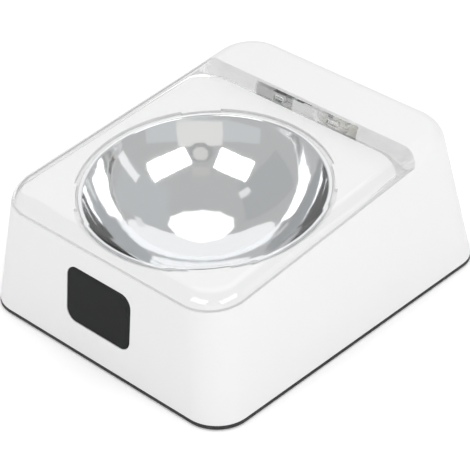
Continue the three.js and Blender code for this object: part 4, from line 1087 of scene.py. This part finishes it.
class FEEDER_OT_base(bpy.types.Operator):
    """Makes the black base plate with its lip, pads and openings"""

    bl_idname = "feeder.base"
    bl_label = "Base plate"

    def execute(self, context):
        body, bowl, _ = sizes()
        base = context.scene.feeder_base
        edge = base.edge
        low = [(edge * (1 - math.sin(a)), edge * (1 - math.cos(a))) for a in (0, 0.5, 1.05, QUARTER)]
        rings = [(inset, height) for inset, height in low]
        rings += [(inset, base.plate - height) for inset, height in reversed(low)]
        plate = loft("Plate", [level_ring(body, housing_outline(body, i), z) for i, z in rings])
        outside = body.wall + body.seat_gap
        top = base.plate + base.lip
        tools = []
        for name, inset, start, end in (
            ("Lip", outside, base.plate / 2, top),
            ("Lip inside", outside + base.lip_sheet, -OVERRUN, top + OVERRUN),
        ):
            outline = housing_outline(body, inset)
            tools.append(loft(name, [level_ring(body, outline, height) for height in (start, end)]))
        up = Matrix.Translation((0, 0, body.foot_proud))
        pads = []
        cuts = []
        for x, y in screw_places(body, base):
            place = up @ Matrix.Translation((x, y, 0))
            pads.append(rod("Pad", base.pad_radius, base.plate / 2, base.plate / 2 + base.pad, place))
            sink = base.head_height + body.seat_gap
            cuts.append(rod("Head hole", base.head + body.seat_gap, -OVERRUN, OVERRUN + sink, place))
            through = base.plate + base.pad + OVERRUN
            cuts.append(rod("Screw hole", base.screw + 2 * SLIP_GAP, 0, through, place))
        x, y = BOARD_X - body.base_width / 2, body.base_length / 2 - BOARD_Y
        for side_x, side_y in corners_of(POST_X, POST_Y):
            place = up @ Matrix.Translation((x + side_x, y + side_y, 0))
            height = base.plate / 2 + base.standoff
            pads.append(rod("Standoff", base.standoff_radius, base.plate / 2, height, place))
            cuts.append(rod("Pilot", base.screw + SLIP_GAP, base.plate + OVERRUN, base.standoff, place))
        for x, y in foot_places(body, base):
            sink = base.foot_height - body.foot_proud + body.seat_gap
            place = up @ Matrix.Translation((x, y, 0))
            cuts.append(rod("Foot seat", base.foot_radius + body.seat_gap, -OVERRUN, OVERRUN + sink, place))
        start = bowl.setback - base.door_length / 2 - body.seat_gap
        run = base.door_length + base.door_travel + 2 * body.seat_gap
        half = base.door_width / 2 + body.seat_gap
        inner = half - base.door_ledge
        cuts.append(box("Door room", (-half, start, base.door_lower), (2 * half, run, base.plate), up))
        cuts.append(box("Door opening", (-inner, start, -OVERRUN), (2 * inner, run, base.plate), up))
        join(plate, cut(*tools), *pads)
        cut(plate, *cuts)
        finish_piece(plate, "base", "housing", ["base_plate"], black_plastic())
        return {"FINISHED"}


class FEEDER_OT_door(bpy.types.Operator):
    """Makes the sliding battery door with its thumb hollow"""

    bl_idname = "feeder.door"
    bl_label = "Battery door"

    def execute(self, context):
        body, bowl, _ = sizes()
        base = context.scene.feeder_base
        start = bowl.setback - base.door_length / 2
        split = base.door_lower + body.seat_gap
        lower = base.door_width - 2 * base.door_ledge
        up = Matrix.Translation((0, 0, body.foot_proud))
        low = (-base.door_width / 2, start, split)
        door = box("Door", low, (base.door_width, base.door_length, base.plate - split), up)
        rest = base.grip_depth / 3
        join(door, box("Panel", (-lower / 2, start, rest), (lower, base.door_length, split), up))
        middle = start + base.door_length - base.grip_radius - base.door_travel
        place = up @ Matrix.Translation((0, middle, 0))
        hollow = base.grip_depth
        dish = [(0, hollow)]
        dish += [(base.grip_radius * math.sin(a / 8), hollow * math.cos(a / 8)) for a in range(1, 13)]
        dish += [(base.grip_radius, -OVERRUN), (0, -OVERRUN)]
        cut(door, turned("Grip", dish, place, 64))
        finish_piece(door, "door", "door", ["battery_door"], black_plastic())
        return {"FINISHED"}


class FEEDER_OT_feet(bpy.types.Operator):
    """Makes one rubber foot and sets it at the four corners"""

    bl_idname = "feeder.feet"
    bl_label = "Rubber feet"

    def execute(self, context):
        body = context.scene.feeder_body
        base = context.scene.feeder_base
        bend = body.foot_proud / 2
        top = base.foot_height - body.foot_proud
        profile = [(0, -body.foot_proud), (base.foot_radius * 0.62, -body.foot_proud)]
        profile += [(base.foot_radius * share, bend * lift - body.foot_proud) for share, lift in
                    ((0.64, 0.3), (0.7, 0.3), (0.72, 0))]
        for i in range(7):
            a = i / 6 * QUARTER
            out = base.foot_radius - bend * (1 - math.sin(a))
            profile.append((out, bend * (1 - math.cos(a)) - body.foot_proud))
        profile += [(base.foot_radius, top), (0, top)]
        rubber = soft_rubber()
        form = turned("Foot", profile, STILL, 48, rubber)
        places = [Matrix.Translation((x, y, body.foot_proud)) for x, y in foot_places(body, base)]
        made = repeated("Feet", form, places, rubber)
        nodes = [f"rubber_foot_{i + 1}" for i in range(len(places))]
        finish_piece(made, "feet", "housing", nodes, rubber)
        return {"FINISHED"}


class FEEDER_OT_screws(bpy.types.Operator):
    """Makes one cross-head screw and sets it in the six holes of the base plate"""

    bl_idname = "feeder.screws"
    bl_label = "Base screws"

    def execute(self, context):
        body = context.scene.feeder_body
        base = context.scene.feeder_base
        head, height, shank = base.head, base.head_height, base.screw
        profile = [(0, -height)]
        for i in range(9):
            a = i / 8 * QUARTER
            profile.append((head * (0.55 + 0.45 * math.sin(a)), -height * (0.45 + 0.55 * math.cos(a))))
        profile += [(head, 0), (shank * 0.8, 0)]
        pitch = 0.0009
        for turn in range(round((base.screw_reach - 2 * shank) / pitch)):
            foot = 0.0004 + turn * pitch
            profile += [(shank * 0.8, foot), (shank, foot + pitch * 0.3), (shank, foot + pitch * 0.4)]
            profile.append((shank * 0.8, foot + pitch * 0.7))
        profile += [(shank * 0.8, base.screw_reach - shank), (0, base.screw_reach)]
        zinc = plated_zinc()
        form = turned("Screw", profile, STILL, 32, zinc)
        arm, width, deep = head * 0.62, head * 0.2, height * 0.6
        cross = box("Slot", (-arm, -width / 2, -height - OVERRUN), (2 * arm, width, OVERRUN + deep))
        join(cross, box("Slot", (-width / 2, -arm, -height - OVERRUN), (width, 2 * arm, OVERRUN + deep)))
        cut(form, cross)
        rise = body.foot_proud + height + SLIP_GAP
        places = [
            Matrix.Translation((x, y, rise)) @ Matrix.Rotation(1.7 * i, 4, "Z")
            for i, (x, y) in enumerate(screw_places(body, base))
        ]
        made = repeated("Base screws", form, places, zinc)
        nodes = [f"base_screw_{i + 1}" for i in range(len(places))]
        finish_piece(made, "base_screws", "housing", nodes, zinc)
        return {"FINISHED"}


# Power switch and hinge shaft


class FEEDER_OT_switch(bpy.types.Operator):
    """Makes the power switch with its bezel and its rocker"""

    bl_idname = "feeder.switch"
    bl_label = "Power switch"

    def execute(self, context):
        body = context.scene.feeder_body
        size = context.scene.feeder_switch
        place = switch_matrix(body, size) @ ALONG_FRONT.inverted()
        width, height = size.width + 2 * size.bezel_edge, size.height + 2 * size.bezel_edge
        bend = size.bezel_height / 2
        rings = [(0, body.seat_gap), (0, body.seat_gap + size.bezel_height - bend)]
        for i in range(1, 6):
            a = i / 5 * QUARTER
            rise = body.seat_gap + size.bezel_height - bend * (1 - math.sin(a))
            rings.append((bend * (1 - math.cos(a)), rise))
        bezel = loft(
            "Bezel",
            [
                [(x, y, z) for x, y in rounded_rectangle(width - 2 * i, height - 2 * i, 0.0014 - i)]
                for i, z in rings
            ],
            place,
        )
        low = (-size.width / 2, -size.height / 2, -size.depth)
        join(bezel, box("Case", low, (size.width, size.height, size.depth + OVERRUN), place))
        pocket = (size.rocker_width + 2 * size.rocker_gap, size.rocker_height + 2 * size.rocker_gap)
        deep = size.rocker_depth + 2 * size.rocker_gap
        low = (-pocket[0] / 2, -pocket[1] / 2, size.bezel_height - deep)
        cut(bezel, box("Pocket", low, (*pocket, deep + OVERRUN), place))
        finish_piece(bezel, "switch", "housing", ["power_switch"], black_plastic())
        reach = size.rocker_height / 2
        side = math.asin(size.rocker_rise / reach)
        outline = [(0, size.rocker_rise / 2)] + arc(reach, side, -side, 8)
        outline += [(reach / 2, size.bezel_height - size.rocker_depth)]
        outline += [(-reach / 2, size.bezel_height - size.rocker_depth)]
        outline += arc(reach, math.pi + side, math.pi - side, 8)
        turn = Matrix(((0, 0, -1, 0), (0, 1, 0, 0), (1, 0, 0, 0), (0, 0, 0, 1)))
        pivot = switch_matrix(body, size) @ Matrix.Translation((0, size.bezel_height, 0))
        pivot = pivot @ Matrix.Rotation(size.tilt, 4, "X") @ turn
        rocker = extruded("Rocker", outline, -size.rocker_width / 2, size.rocker_width, pivot)
        finish_piece(rocker, "rocker", "rocker", ["power_rocker"], black_plastic())
        return {"FINISHED"}


class FEEDER_OT_shaft(bpy.types.Operator):
    """Makes the ground steel hinge shaft"""

    bl_idname = "feeder.shaft"
    bl_label = "Hinge shaft"

    def execute(self, context):
        body, _, lid = sizes()
        edge = lid.shaft / 5
        half = lid.shaft_length / 2
        profile = [(0, -half), (lid.shaft - edge, -half), (lid.shaft, edge - half)]
        profile += [(lid.shaft, half - edge), (lid.shaft - edge, half), (0, half)]
        place = slope_matrix(body) @ Matrix.Translation((0, *hinge_place(body, lid))) @ ALONG_X
        made = turned("Shaft", profile, place, 32)
        finish_piece(made, "shaft", "lid", ["hinge_shaft"], ground_steel())
        return {"FINISHED"}


# Finishes


def shader_group(name, inputs, outputs):
    tree = bpy.data.node_groups.new(name, "ShaderNodeTree")
    for label, kind, value in inputs:
        socket = tree.interface.new_socket(label, in_out="INPUT", socket_type=kind)
        socket.default_value = value
    for label, kind in outputs:
        tree.interface.new_socket(label, in_out="OUTPUT", socket_type=kind)
    return tree, tree.nodes.new("NodeGroupInput"), tree.nodes.new("NodeGroupOutput")


def surface_group():
    """Fine moulding grain, slow drift of tone and of gloss, over the object's own coordinates."""
    name = "Moulded surface"
    if name in bpy.data.node_groups:
        return bpy.data.node_groups[name]
    tree, start, end = shader_group(
        name,
        (
            ("Colour", "NodeSocketColor", (0.8, 0.8, 0.8, 1)),
            ("Drift", "NodeSocketFloat", 0.02),
            ("Grain size", "NodeSocketFloat", 1500.0),
            ("Roughness", "NodeSocketFloat", 0.4),
            ("Roughness drift", "NodeSocketFloat", 0.05),
        ),
        (
            ("Colour", "NodeSocketColor"),
            ("Roughness", "NodeSocketFloat"),
            ("Height", "NodeSocketFloat"),
        ),
    )
    nodes, links = tree.nodes, tree.links
    place = nodes.new("ShaderNodeTexCoord").outputs["Object"]

    def noise(scale, detail):
        made = nodes.new("ShaderNodeTexNoise")
        links.new(place, made.inputs["Vector"])
        if isinstance(scale, bpy.types.NodeSocket):
            links.new(scale, made.inputs["Scale"])
        else:
            made.inputs["Scale"].default_value = scale
        made.inputs["Detail"].default_value = detail
        return made.outputs["Fac"]

    slow = noise(18.0, 2.0)
    fine = noise(start.outputs["Grain size"], 3.0)
    even = maths(tree, "SUBTRACT", slow, 0.5)
    tone = maths(tree, "ADD", maths(tree, "MULTIPLY", even, start.outputs["Drift"]), 1.0)
    links.new(scaled(tree, start.outputs["Colour"], tone), end.inputs["Colour"])
    speckle = maths(tree, "MULTIPLY", maths(tree, "SUBTRACT", fine, 0.5), start.outputs["Roughness drift"])
    cloud = maths(tree, "MULTIPLY", even, start.outputs["Roughness drift"])
    gloss = maths(tree, "ADD", maths(tree, "ADD", speckle, cloud), start.outputs["Roughness"])
    links.new(gloss, end.inputs["Roughness"])
    links.new(fine, end.inputs["Height"])
    return tree


def crevice_group():
    """How far a spot lies in a narrow gap or corner: white in the open, darker inside."""
    name = "Crevice shade"
    if name in bpy.data.node_groups:
        return bpy.data.node_groups[name]
    inputs = (("Colour", "NodeSocketColor", (0.8, 0.8, 0.8, 1)), ("Reach", "NodeSocketFloat", 0.0015))
    inputs += (("Strength", "NodeSocketFloat", 0.5),)
    tree, start, end = shader_group(name, inputs, (("Colour", "NodeSocketColor"),))
    open_share = tree.nodes.new("ShaderNodeAmbientOcclusion")
    open_share.samples = 8
    tree.links.new(start.outputs["Reach"], open_share.inputs["Distance"])
    hidden = maths(tree, "SUBTRACT", 1.0, open_share.outputs["AO"])
    shade = maths(tree, "SUBTRACT", 1.0, maths(tree, "MULTIPLY", hidden, start.outputs["Strength"]))
    tree.links.new(scaled(tree, start.outputs["Colour"], shade), end.inputs["Colour"])
    return tree


def edge_group():
    """Normals that round an edge off within a radius."""
    name = "Soft edges"
    if name in bpy.data.node_groups:
        return bpy.data.node_groups[name]
    tree, start, end = shader_group(
        name, (("Radius", "NodeSocketFloat", 0.0003),), (("Normal", "NodeSocketVector"),)
    )
    bevel = tree.nodes.new("ShaderNodeBevel")
    bevel.samples = 4
    tree.links.new(start.outputs["Radius"], bevel.inputs["Radius"])
    tree.links.new(bevel.outputs["Normal"], end.inputs["Normal"])
    return tree


def place_group(material, tree, values):
    made = material.node_tree.nodes.new("ShaderNodeGroup")
    made.node_tree = tree
    for name, value in values.items():
        made.inputs[name].default_value = value
    return made


def new_material(
    name,
    colour,
    roughness,
    metallic=0.0,
    drift=0.02,
    grain=1500.0,
    depth=0.02,
    rough_drift=0.06,
    edge=0.0003,
    ior=1.5,
):
    """A Principled finish with drift of tone and gloss, fine grain and softened edges."""
    if name in bpy.data.materials:
        return bpy.data.materials[name]
    material = bpy.data.materials.new(name)
    material.use_nodes = True
    nodes, links = material.node_tree.nodes, material.node_tree.links
    shader = nodes["Principled BSDF"]
    surface = place_group(
        material,
        surface_group(),
        {
            "Colour": (*colour, 1),
            "Drift": drift,
            "Grain size": grain,
            "Roughness": roughness,
            "Roughness drift": rough_drift,
        },
    )
    links.new(surface.outputs["Colour"], shader.inputs["Base Color"])
    links.new(surface.outputs["Roughness"], shader.inputs["Roughness"])
    bump = nodes.new("ShaderNodeBump")
    bump.inputs["Strength"].default_value = depth
    bump.inputs["Distance"].default_value = 0.0001
    links.new(surface.outputs["Height"], bump.inputs["Height"])
    if edge:
        soft = place_group(material, edge_group(), {"Radius": edge})
        links.new(soft.outputs["Normal"], bump.inputs["Normal"])
    links.new(bump.outputs["Normal"], shader.inputs["Normal"])
    shader.inputs["Metallic"].default_value = metallic
    shader.inputs["Coat Weight"].default_value = 0.0
    shader.inputs["Coat Roughness"].default_value = 0.1
    shader.inputs["IOR"].default_value = ior
    return material


def finishes():
    return bpy.context.scene.feeder_finish


def white_plastic():
    """White sheet; soft light seeps through its faces, so that the hollow inside isn't black."""
    name = "Moulded white plastic"
    if name in bpy.data.materials:
        return bpy.data.materials[name]
    material = new_material(name, finishes().housing, 0.38, drift=0.012, depth=0.03, edge=0.0004)
    shader = material.node_tree.nodes["Principled BSDF"]
    crevice = place_group(material, crevice_group(), {"Reach": 0.0009, "Strength": 0.2})
    plain = shader.inputs["Base Color"].links[0].from_socket
    material.node_tree.links.new(plain, crevice.inputs["Colour"])
    material.node_tree.links.new(crevice.outputs["Colour"], shader.inputs["Base Color"])
    path = material.node_tree.nodes.new("ShaderNodeLightPath")
    seep = maths(material.node_tree, "MULTIPLY", path.outputs["Is Diffuse Ray"], 0.85)
    return pass_through(material, seep, 1.0)


def black_plastic():
    return new_material("Moulded black plastic", finishes().base, 0.5, drift=0.1, depth=0.08)


def dark_window():
    shade = finishes().window
    return new_material("Dark window", shade, 0.1, drift=0.05, depth=0.0, rough_drift=0.03, ior=1.25)


def polished_steel():
    """Spun and polished sheet: a near mirror with slow waves from the forming."""
    name = "Polished steel"
    if name in bpy.data.materials:
        return bpy.data.materials[name]
    shade = finishes().steel
    material = new_material(name, shade, 0.075, metallic=1.0, drift=0.03, grain=24.0, depth=0.6, edge=0.0)
    bump = next(node for node in material.node_tree.nodes if node.type == "BUMP")
    bump.inputs["Distance"].default_value = 0.0006
    return material


def ground_steel():
    shade = finishes().steel
    return new_material("Ground steel", shade, 0.22, metallic=1.0, drift=0.05, grain=3000.0, depth=0.05)


def plated_zinc():
    shade = finishes().zinc
    return new_material("Plated zinc", shade, 0.32, metallic=1.0, drift=0.08, grain=2500.0, rough_drift=0.12)


def soft_rubber():
    return new_material("Rubber", finishes().rubber, 0.75, drift=0.2, depth=0.15)


def pass_through(material, share, tint):
    """Lets a share of the rays go straight through the material."""
    nodes, links = material.node_tree.nodes, material.node_tree.links
    through = nodes.new("ShaderNodeBsdfTransparent")
    through.inputs["Color"].default_value = (tint, tint, tint, 1)
    mix = nodes.new("ShaderNodeMixShader")
    links.new(share, mix.inputs["Fac"])
    links.new(nodes["Principled BSDF"].outputs[0], mix.inputs[1])
    links.new(through.outputs[0], mix.inputs[2])
    links.new(mix.outputs[0], nodes["Material Output"].inputs["Surface"])
    return material


def clear_plastic():
    """Clear sheet: shadows, soft light and the steel's mirror images pass straight through it."""
    name = "Clear plastic"
    if name in bpy.data.materials:
        return bpy.data.materials[name]
    material = new_material(name, finishes().lid, 0.02, drift=0.004, depth=0.0, rough_drift=0.015, edge=0.0)
    shader = material.node_tree.nodes["Principled BSDF"]
    shader.inputs["Transmission Weight"].default_value = 1.0
    shader.inputs["IOR"].default_value = 1.2
    # Painted shade: the faces along the lid's lower edge get a darker tint, which draws a dark line at the
    # seam.
    rim = material.node_tree.nodes.new("ShaderNodeAttribute")
    rim.attribute_name = "rim"
    surface = next(node for node in material.node_tree.nodes if "Grain size" in node.inputs)
    tint = maths(material.node_tree, "MULTIPLY", rim.outputs["Fac"], -0.45)
    tint = maths(material.node_tree, "ADD", tint, 0.99)
    material.node_tree.links.new(grey(material.node_tree, tint), surface.inputs["Colour"])
    shader.inputs["Coat Weight"].default_value = 0.7
    shader.inputs["Coat Roughness"].default_value = 0.02
    tree = material.node_tree
    path = tree.nodes.new("ShaderNodeLightPath")
    mirrored = maths(tree, "SUBTRACT", path.outputs["Is Glossy Ray"], path.outputs["Is Transmission Ray"])
    passing = maths(tree, "MAXIMUM", path.outputs["Is Shadow Ray"], path.outputs["Is Diffuse Ray"])
    passing = maths(tree, "MAXIMUM", passing, mirrored)
    return pass_through(material, passing, 0.985)


def dress(node, material):
    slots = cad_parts[node].data.materials
    if len(slots):
        for i in range(len(slots)):
            slots[i] = material
    else:
        slots.append(material)


class FEEDER_OT_finishes(bpy.types.Operator):
    """Gives each plain inner part its finish"""

    bl_idname = "feeder.finishes"
    bl_label = "Finishes of the inner parts"

    def execute(self, context):
        shades = finishes()
        zinc = plated_zinc()
        steel = polished_steel()
        brass = new_material("Brass", shades.brass, 0.28, metallic=1.0, drift=0.1, rough_drift=0.1)
        nylon = new_material("Nylon", shades.nylon, 0.45, drift=0.03, depth=0.04)
        board = new_material("Board green", shades.board, 0.4, drift=0.15, depth=0.1)
        cells = new_material("Cell wrap", shades.cells, 0.3, drift=0.05)
        rubber = soft_rubber()
        sheath = new_material("Sheath", shades.sheath, 0.55, drift=0.1, depth=0.05)
        lamp = new_material("Smoked lamp", shades.lamp, 0.08, drift=0.02, depth=0.0)
        kinds = (
            ("rubber_foot", rubber),
            ("base_screw", zinc),
            ("bracket_screw", zinc),
            ("board_screw", zinc),
            ("holder_screw", zinc),
            ("battery_contact", zinc),
            ("hinge_shaft", ground_steel()),
            ("drive_shaft", ground_steel()),
            ("shaft_bush", brass),
            ("drive_gear", nylon),
            ("gearbox_housing", nylon),
            ("control_board", board),
            ("sensor_board", board),
            ("sensor_cable", sheath),
            ("battery_cable", sheath),
            ("motor_cable", sheath),
            ("battery_box", black_plastic()),
            ("battery_door", black_plastic()),
            ("battery_", cells),
            ("motor", zinc),
            ("ir_", lamp),
            ("upper_housing", white_plastic()),
            ("lid_drive_arm", white_plastic()),
            ("food_bowl", steel),
            ("lid", clear_plastic()),
            ("sensor_window", dark_window()),
        )
        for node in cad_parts:
            dress(node, next((m for start, m in kinds if node.startswith(start)), black_plastic()))
        return {"FINISHED"}


# Stage


def lamp(name, place, target, width, height, strength):
    light = bpy.data.lights.new(name, "AREA")
    light.shape = "RECTANGLE"
    light.size, light.size_y = width, height
    light.energy = strength
    made = bpy.data.objects.new(name, light)
    bpy.context.scene.collection.objects.link(made)
    made.location = place
    made.rotation_euler = (Vector(target) - Vector(place)).to_track_quat("-Z", "Y").to_euler()
    made.visible_camera = False
    made.visible_glossy = False
    return made


def card(
    name, azimuth, elevation, width, height, level, distance=6.0, sides=4, tint=(1, 1, 1), first=1, last=9
):
    """A board that only polished surfaces mirror; directions and sizes in degrees from the bowl."""
    turn, lift = math.radians(azimuth), math.radians(elevation)
    way = Vector((math.sin(turn) * math.cos(lift), -math.cos(turn) * math.cos(lift), math.sin(lift)))
    across = Vector((math.cos(turn), math.sin(turn), 0))
    up = across.cross(way) * -1
    middle = Vector((0, -0.033, 0.06)) + way * distance
    wide, high = (distance * math.tan(math.radians(size / 2)) for size in (width, height))
    stretch = 1 / math.cos(math.pi / sides)
    thick = way * 0.002
    points = []
    for back in (0, 1):
        for i in range(sides):
            a = 2 * math.pi * (i + 0.5) / sides
            corner = across * (wide * stretch * math.cos(a)) + up * (high * stretch * math.sin(a))
            points.append(middle + corner + thick * back)
    faces = [tuple(range(sides)), tuple(range(2 * sides - 1, sides - 1, -1))]
    for i in range(sides):
        j = (i + 1) % sides
        faces.append((i, i + sides, j + sides, j))
    board = closed(name, points, faces)
    made = bpy.data.materials.new(name)
    made.use_nodes = True
    nodes, links = made.node_tree.nodes, made.node_tree.links
    nodes.clear()
    path = nodes.new("ShaderNodeLightPath")
    glow = nodes.new("ShaderNodeEmission")
    glow.inputs["Color"].default_value = (*tint, 1)
    glow.inputs["Strength"].default_value = level
    mix = nodes.new("ShaderNodeMixShader")
    tree = made.node_tree
    shown = maths(tree, "GREATER_THAN", path.outputs["Glossy Depth"], first - 0.5)
    kept = maths(tree, "LESS_THAN", path.outputs["Glossy Depth"], last + 0.5)
    shown = maths(tree, "MULTIPLY", shown, kept)
    links.new(maths(tree, "MULTIPLY", shown, path.outputs["Is Glossy Ray"]), mix.inputs["Fac"])
    links.new(nodes.new("ShaderNodeBsdfTransparent").outputs[0], mix.inputs[1])
    links.new(glow.outputs[0], mix.inputs[2])
    links.new(mix.outputs[0], nodes.new("ShaderNodeOutputMaterial").inputs["Surface"])
    board.data.materials.append(made)
    return board


class FEEDER_OT_stage(bpy.types.Operator):
    """Makes the camera, the floor, the soft light and the boards that steel mirrors"""

    bl_idname = "feeder.stage"
    bl_label = "Stage"

    def execute(self, context):
        scene = context.scene
        studio = scene.feeder_studio
        lens = bpy.data.cameras.new("Camera")
        lens.sensor_width = 36
        lens.lens = studio.lens
        lens.clip_start, lens.clip_end = 0.01, 50
        camera = bpy.data.objects.new("Camera", lens)
        scene.collection.objects.link(camera)
        level = math.cos(studio.elevation)
        back = Vector(
            (
                math.sin(studio.azimuth) * level,
                -math.cos(studio.azimuth) * level,
                math.sin(studio.elevation),
            )
        )
        camera.location = studio.camera
        camera.rotation_euler = (-back).to_track_quat("-Z", "Y").to_euler()
        scene.camera = camera

        world = bpy.data.worlds.new("Studio")
        scene.world = world
        world.use_nodes = True
        nodes, links = world.node_tree.nodes, world.node_tree.links
        path = nodes.new("ShaderNodeLightPath")
        tree = world.node_tree
        clear = maths(tree, "MULTIPLY", path.outputs["Is Transmission Ray"], studio.through)
        seen = maths(tree, "MAXIMUM", path.outputs["Is Camera Ray"], clear)
        deep = maths(tree, "GREATER_THAN", path.outputs["Glossy Depth"], 2.5)
        second = maths(tree, "GREATER_THAN", path.outputs["Glossy Depth"], 1.5)
        dim = maths(tree, "ADD", maths(tree, "MULTIPLY", second, 0.2), studio.gleam)
        dim = maths(tree, "MULTIPLY", dim, maths(tree, "SUBTRACT", 1.0, maths(tree, "MULTIPLY", deep, 0.97)))
        change = maths(tree, "SUBTRACT", dim, studio.room)
        level = maths(tree, "MULTIPLY", change, path.outputs["Is Glossy Ray"])
        level = maths(tree, "ADD", level, studio.room)
        straight = maths(tree, "SUBTRACT", 1.0, path.outputs["Is Transmission Ray"])
        level = maths(tree, "MULTIPLY", level, straight)
        level = maths(tree, "MAXIMUM", level, seen)
        room = nodes["Background"]
        room.inputs["Color"].default_value = (1, 1, 1, 1)
        links.new(level, room.inputs["Strength"])

        reach = 3.0
        square = ((-reach, -reach), (reach, -reach), (reach, reach), (-reach, reach))
        floor = closed(
            "floor",
            [(x, y, z) for z in (-0.02, 0) for x, y in square],
            [(3, 2, 1, 0), (4, 5, 6, 7), (0, 1, 5, 4), (1, 2, 6, 5), (2, 3, 7, 6), (3, 0, 4, 7)],
        )
        white = bpy.data.materials.new("Floor")
        white.use_nodes = True
        nodes, links = white.node_tree.nodes, white.node_tree.links
        shader = nodes["Principled BSDF"]
        shader.inputs["Roughness"].default_value = 0.9
        shader.inputs["Specular IOR Level"].default_value = 0.0
        shader.inputs["Emission Color"].default_value = (1, 1, 1, 1)
        path = nodes.new("ShaderNodeLightPath")
        # Painted shade: the floor is darker where it is seen through the clear lid.
        behind = maths(white.node_tree, "MULTIPLY", path.outputs["Is Transmission Ray"], -0.28)
        pale = grey(white.node_tree, maths(white.node_tree, "ADD", behind, 0.93))
        links.new(pale, shader.inputs["Base Color"])
        glow = maths(white.node_tree, "MULTIPLY", path.outputs["Is Camera Ray"], 0.22)
        links.new(glow, shader.inputs["Emission Strength"])
        floor.data.materials.append(white)
        middle = (0, -0.03, 0.06)
        lamp("Key", (1.1, -0.2, 1.3), middle, 0.7, 0.7, 3.0)
        lamp("Right light", (1.05, -0.15, 0.75), middle, 0.34, 0.3, 0.7)
        lamp("Front light", (-0.12, -1.1, 0.9), middle, 0.4, 0.3, 0.6)
        warm, cool = (1, 0.985, 0.955), (0.95, 0.985, 1)
        card("Right softbox", 84, 41, 38, 17, 3.5)
        card("Front softbox", 3, 42, 33, 19, 3.5)
        card("Overhead lamp", 221, 73, 46, 34, 1.6, sides=10)
        card("Rear sweep", 222, 41, 86, 42, 1.15, distance=7.5, sides=18, last=2)
        card("Side strip", 124, 22, 8, 24, 1.15, last=2)
        card("Camera wall", 42, 17, 104, 20, 0.68, distance=7.5, tint=cool, last=2)
        card("Camera stand", 45, 20, 40, 22, 0.93, distance=7.0, tint=warm)
        card("Lamp shade", 45, 37, 23, 17, 0.4, distance=6.2, sides=8)
        card("Lamp head", 45, 38, 14, 12, 0.78, sides=8, tint=warm)
        card("Lamp foot", 45, 54, 15, 8, 0.6, tint=warm)
        card("Left panel", 140, 42, 44, 46, 0.58, distance=7.6, tint=cool, last=2)
        card("Right panel", 312, 36, 40, 44, 0.46, distance=7.6, tint=cool, last=2)
        card("Small window", 326, 54, 6, 9, 1.0)
        card("Small lamp", 170, 37, 8, 6, 0.95)
        card("Upper wall", 48, 66, 60, 36, 1.7, distance=7.0, first=2, last=2)
        scene.view_settings.view_transform = "Standard"
        return {"FINISHED"}


OPERATORS = (
    FEEDER_OT_finishes,
    FEEDER_OT_housing,
    FEEDER_OT_lid,
    FEEDER_OT_drive,
    FEEDER_OT_bowl,
    FEEDER_OT_sensor,
    FEEDER_OT_base,
    FEEDER_OT_door,
    FEEDER_OT_feet,
    FEEDER_OT_screws,
    FEEDER_OT_switch,
    FEEDER_OT_shaft,
    FEEDER_OT_stage,
)


class FEEDER_PT_panel(bpy.types.Panel):
    """Lists the feeder's pieces"""

    bl_idname = "FEEDER_PT_panel"
    bl_label = "Sensor cat feeder"
    bl_space_type = "VIEW_3D"
    bl_region_type = "UI"
    bl_category = "Feeder"

    def draw(self, context):
        for operator in OPERATORS:
            self.layout.operator(operator.bl_idname)


PLACES = {
    "feeder_body": BodySizes,
    "feeder_bowl": BowlSizes,
    "feeder_lid": LidSizes,
    "feeder_base": BaseSizes,
    "feeder_sensor": SensorSizes,
    "feeder_switch": SwitchSizes,
    "feeder_finish": FinishColours,
    "feeder_studio": StudioSizes,
}


def register():
    for cls in (*GROUPS, *OPERATORS, FEEDER_PT_panel):
        bpy.utils.register_class(cls)
    for name, group in PLACES.items():
        setattr(bpy.types.Scene, name, PointerProperty(type=group))


def unregister():
    for name in PLACES:
        delattr(bpy.types.Scene, name)
    for cls in reversed((*GROUPS, *OPERATORS, FEEDER_PT_panel)):
        bpy.utils.unregister_class(cls)


def main():
    register()
    for operator in OPERATORS:
        section, name = operator.bl_idname.split(".")
        getattr(getattr(bpy.ops, section), name)()


if __name__ == "__main__":
    main()
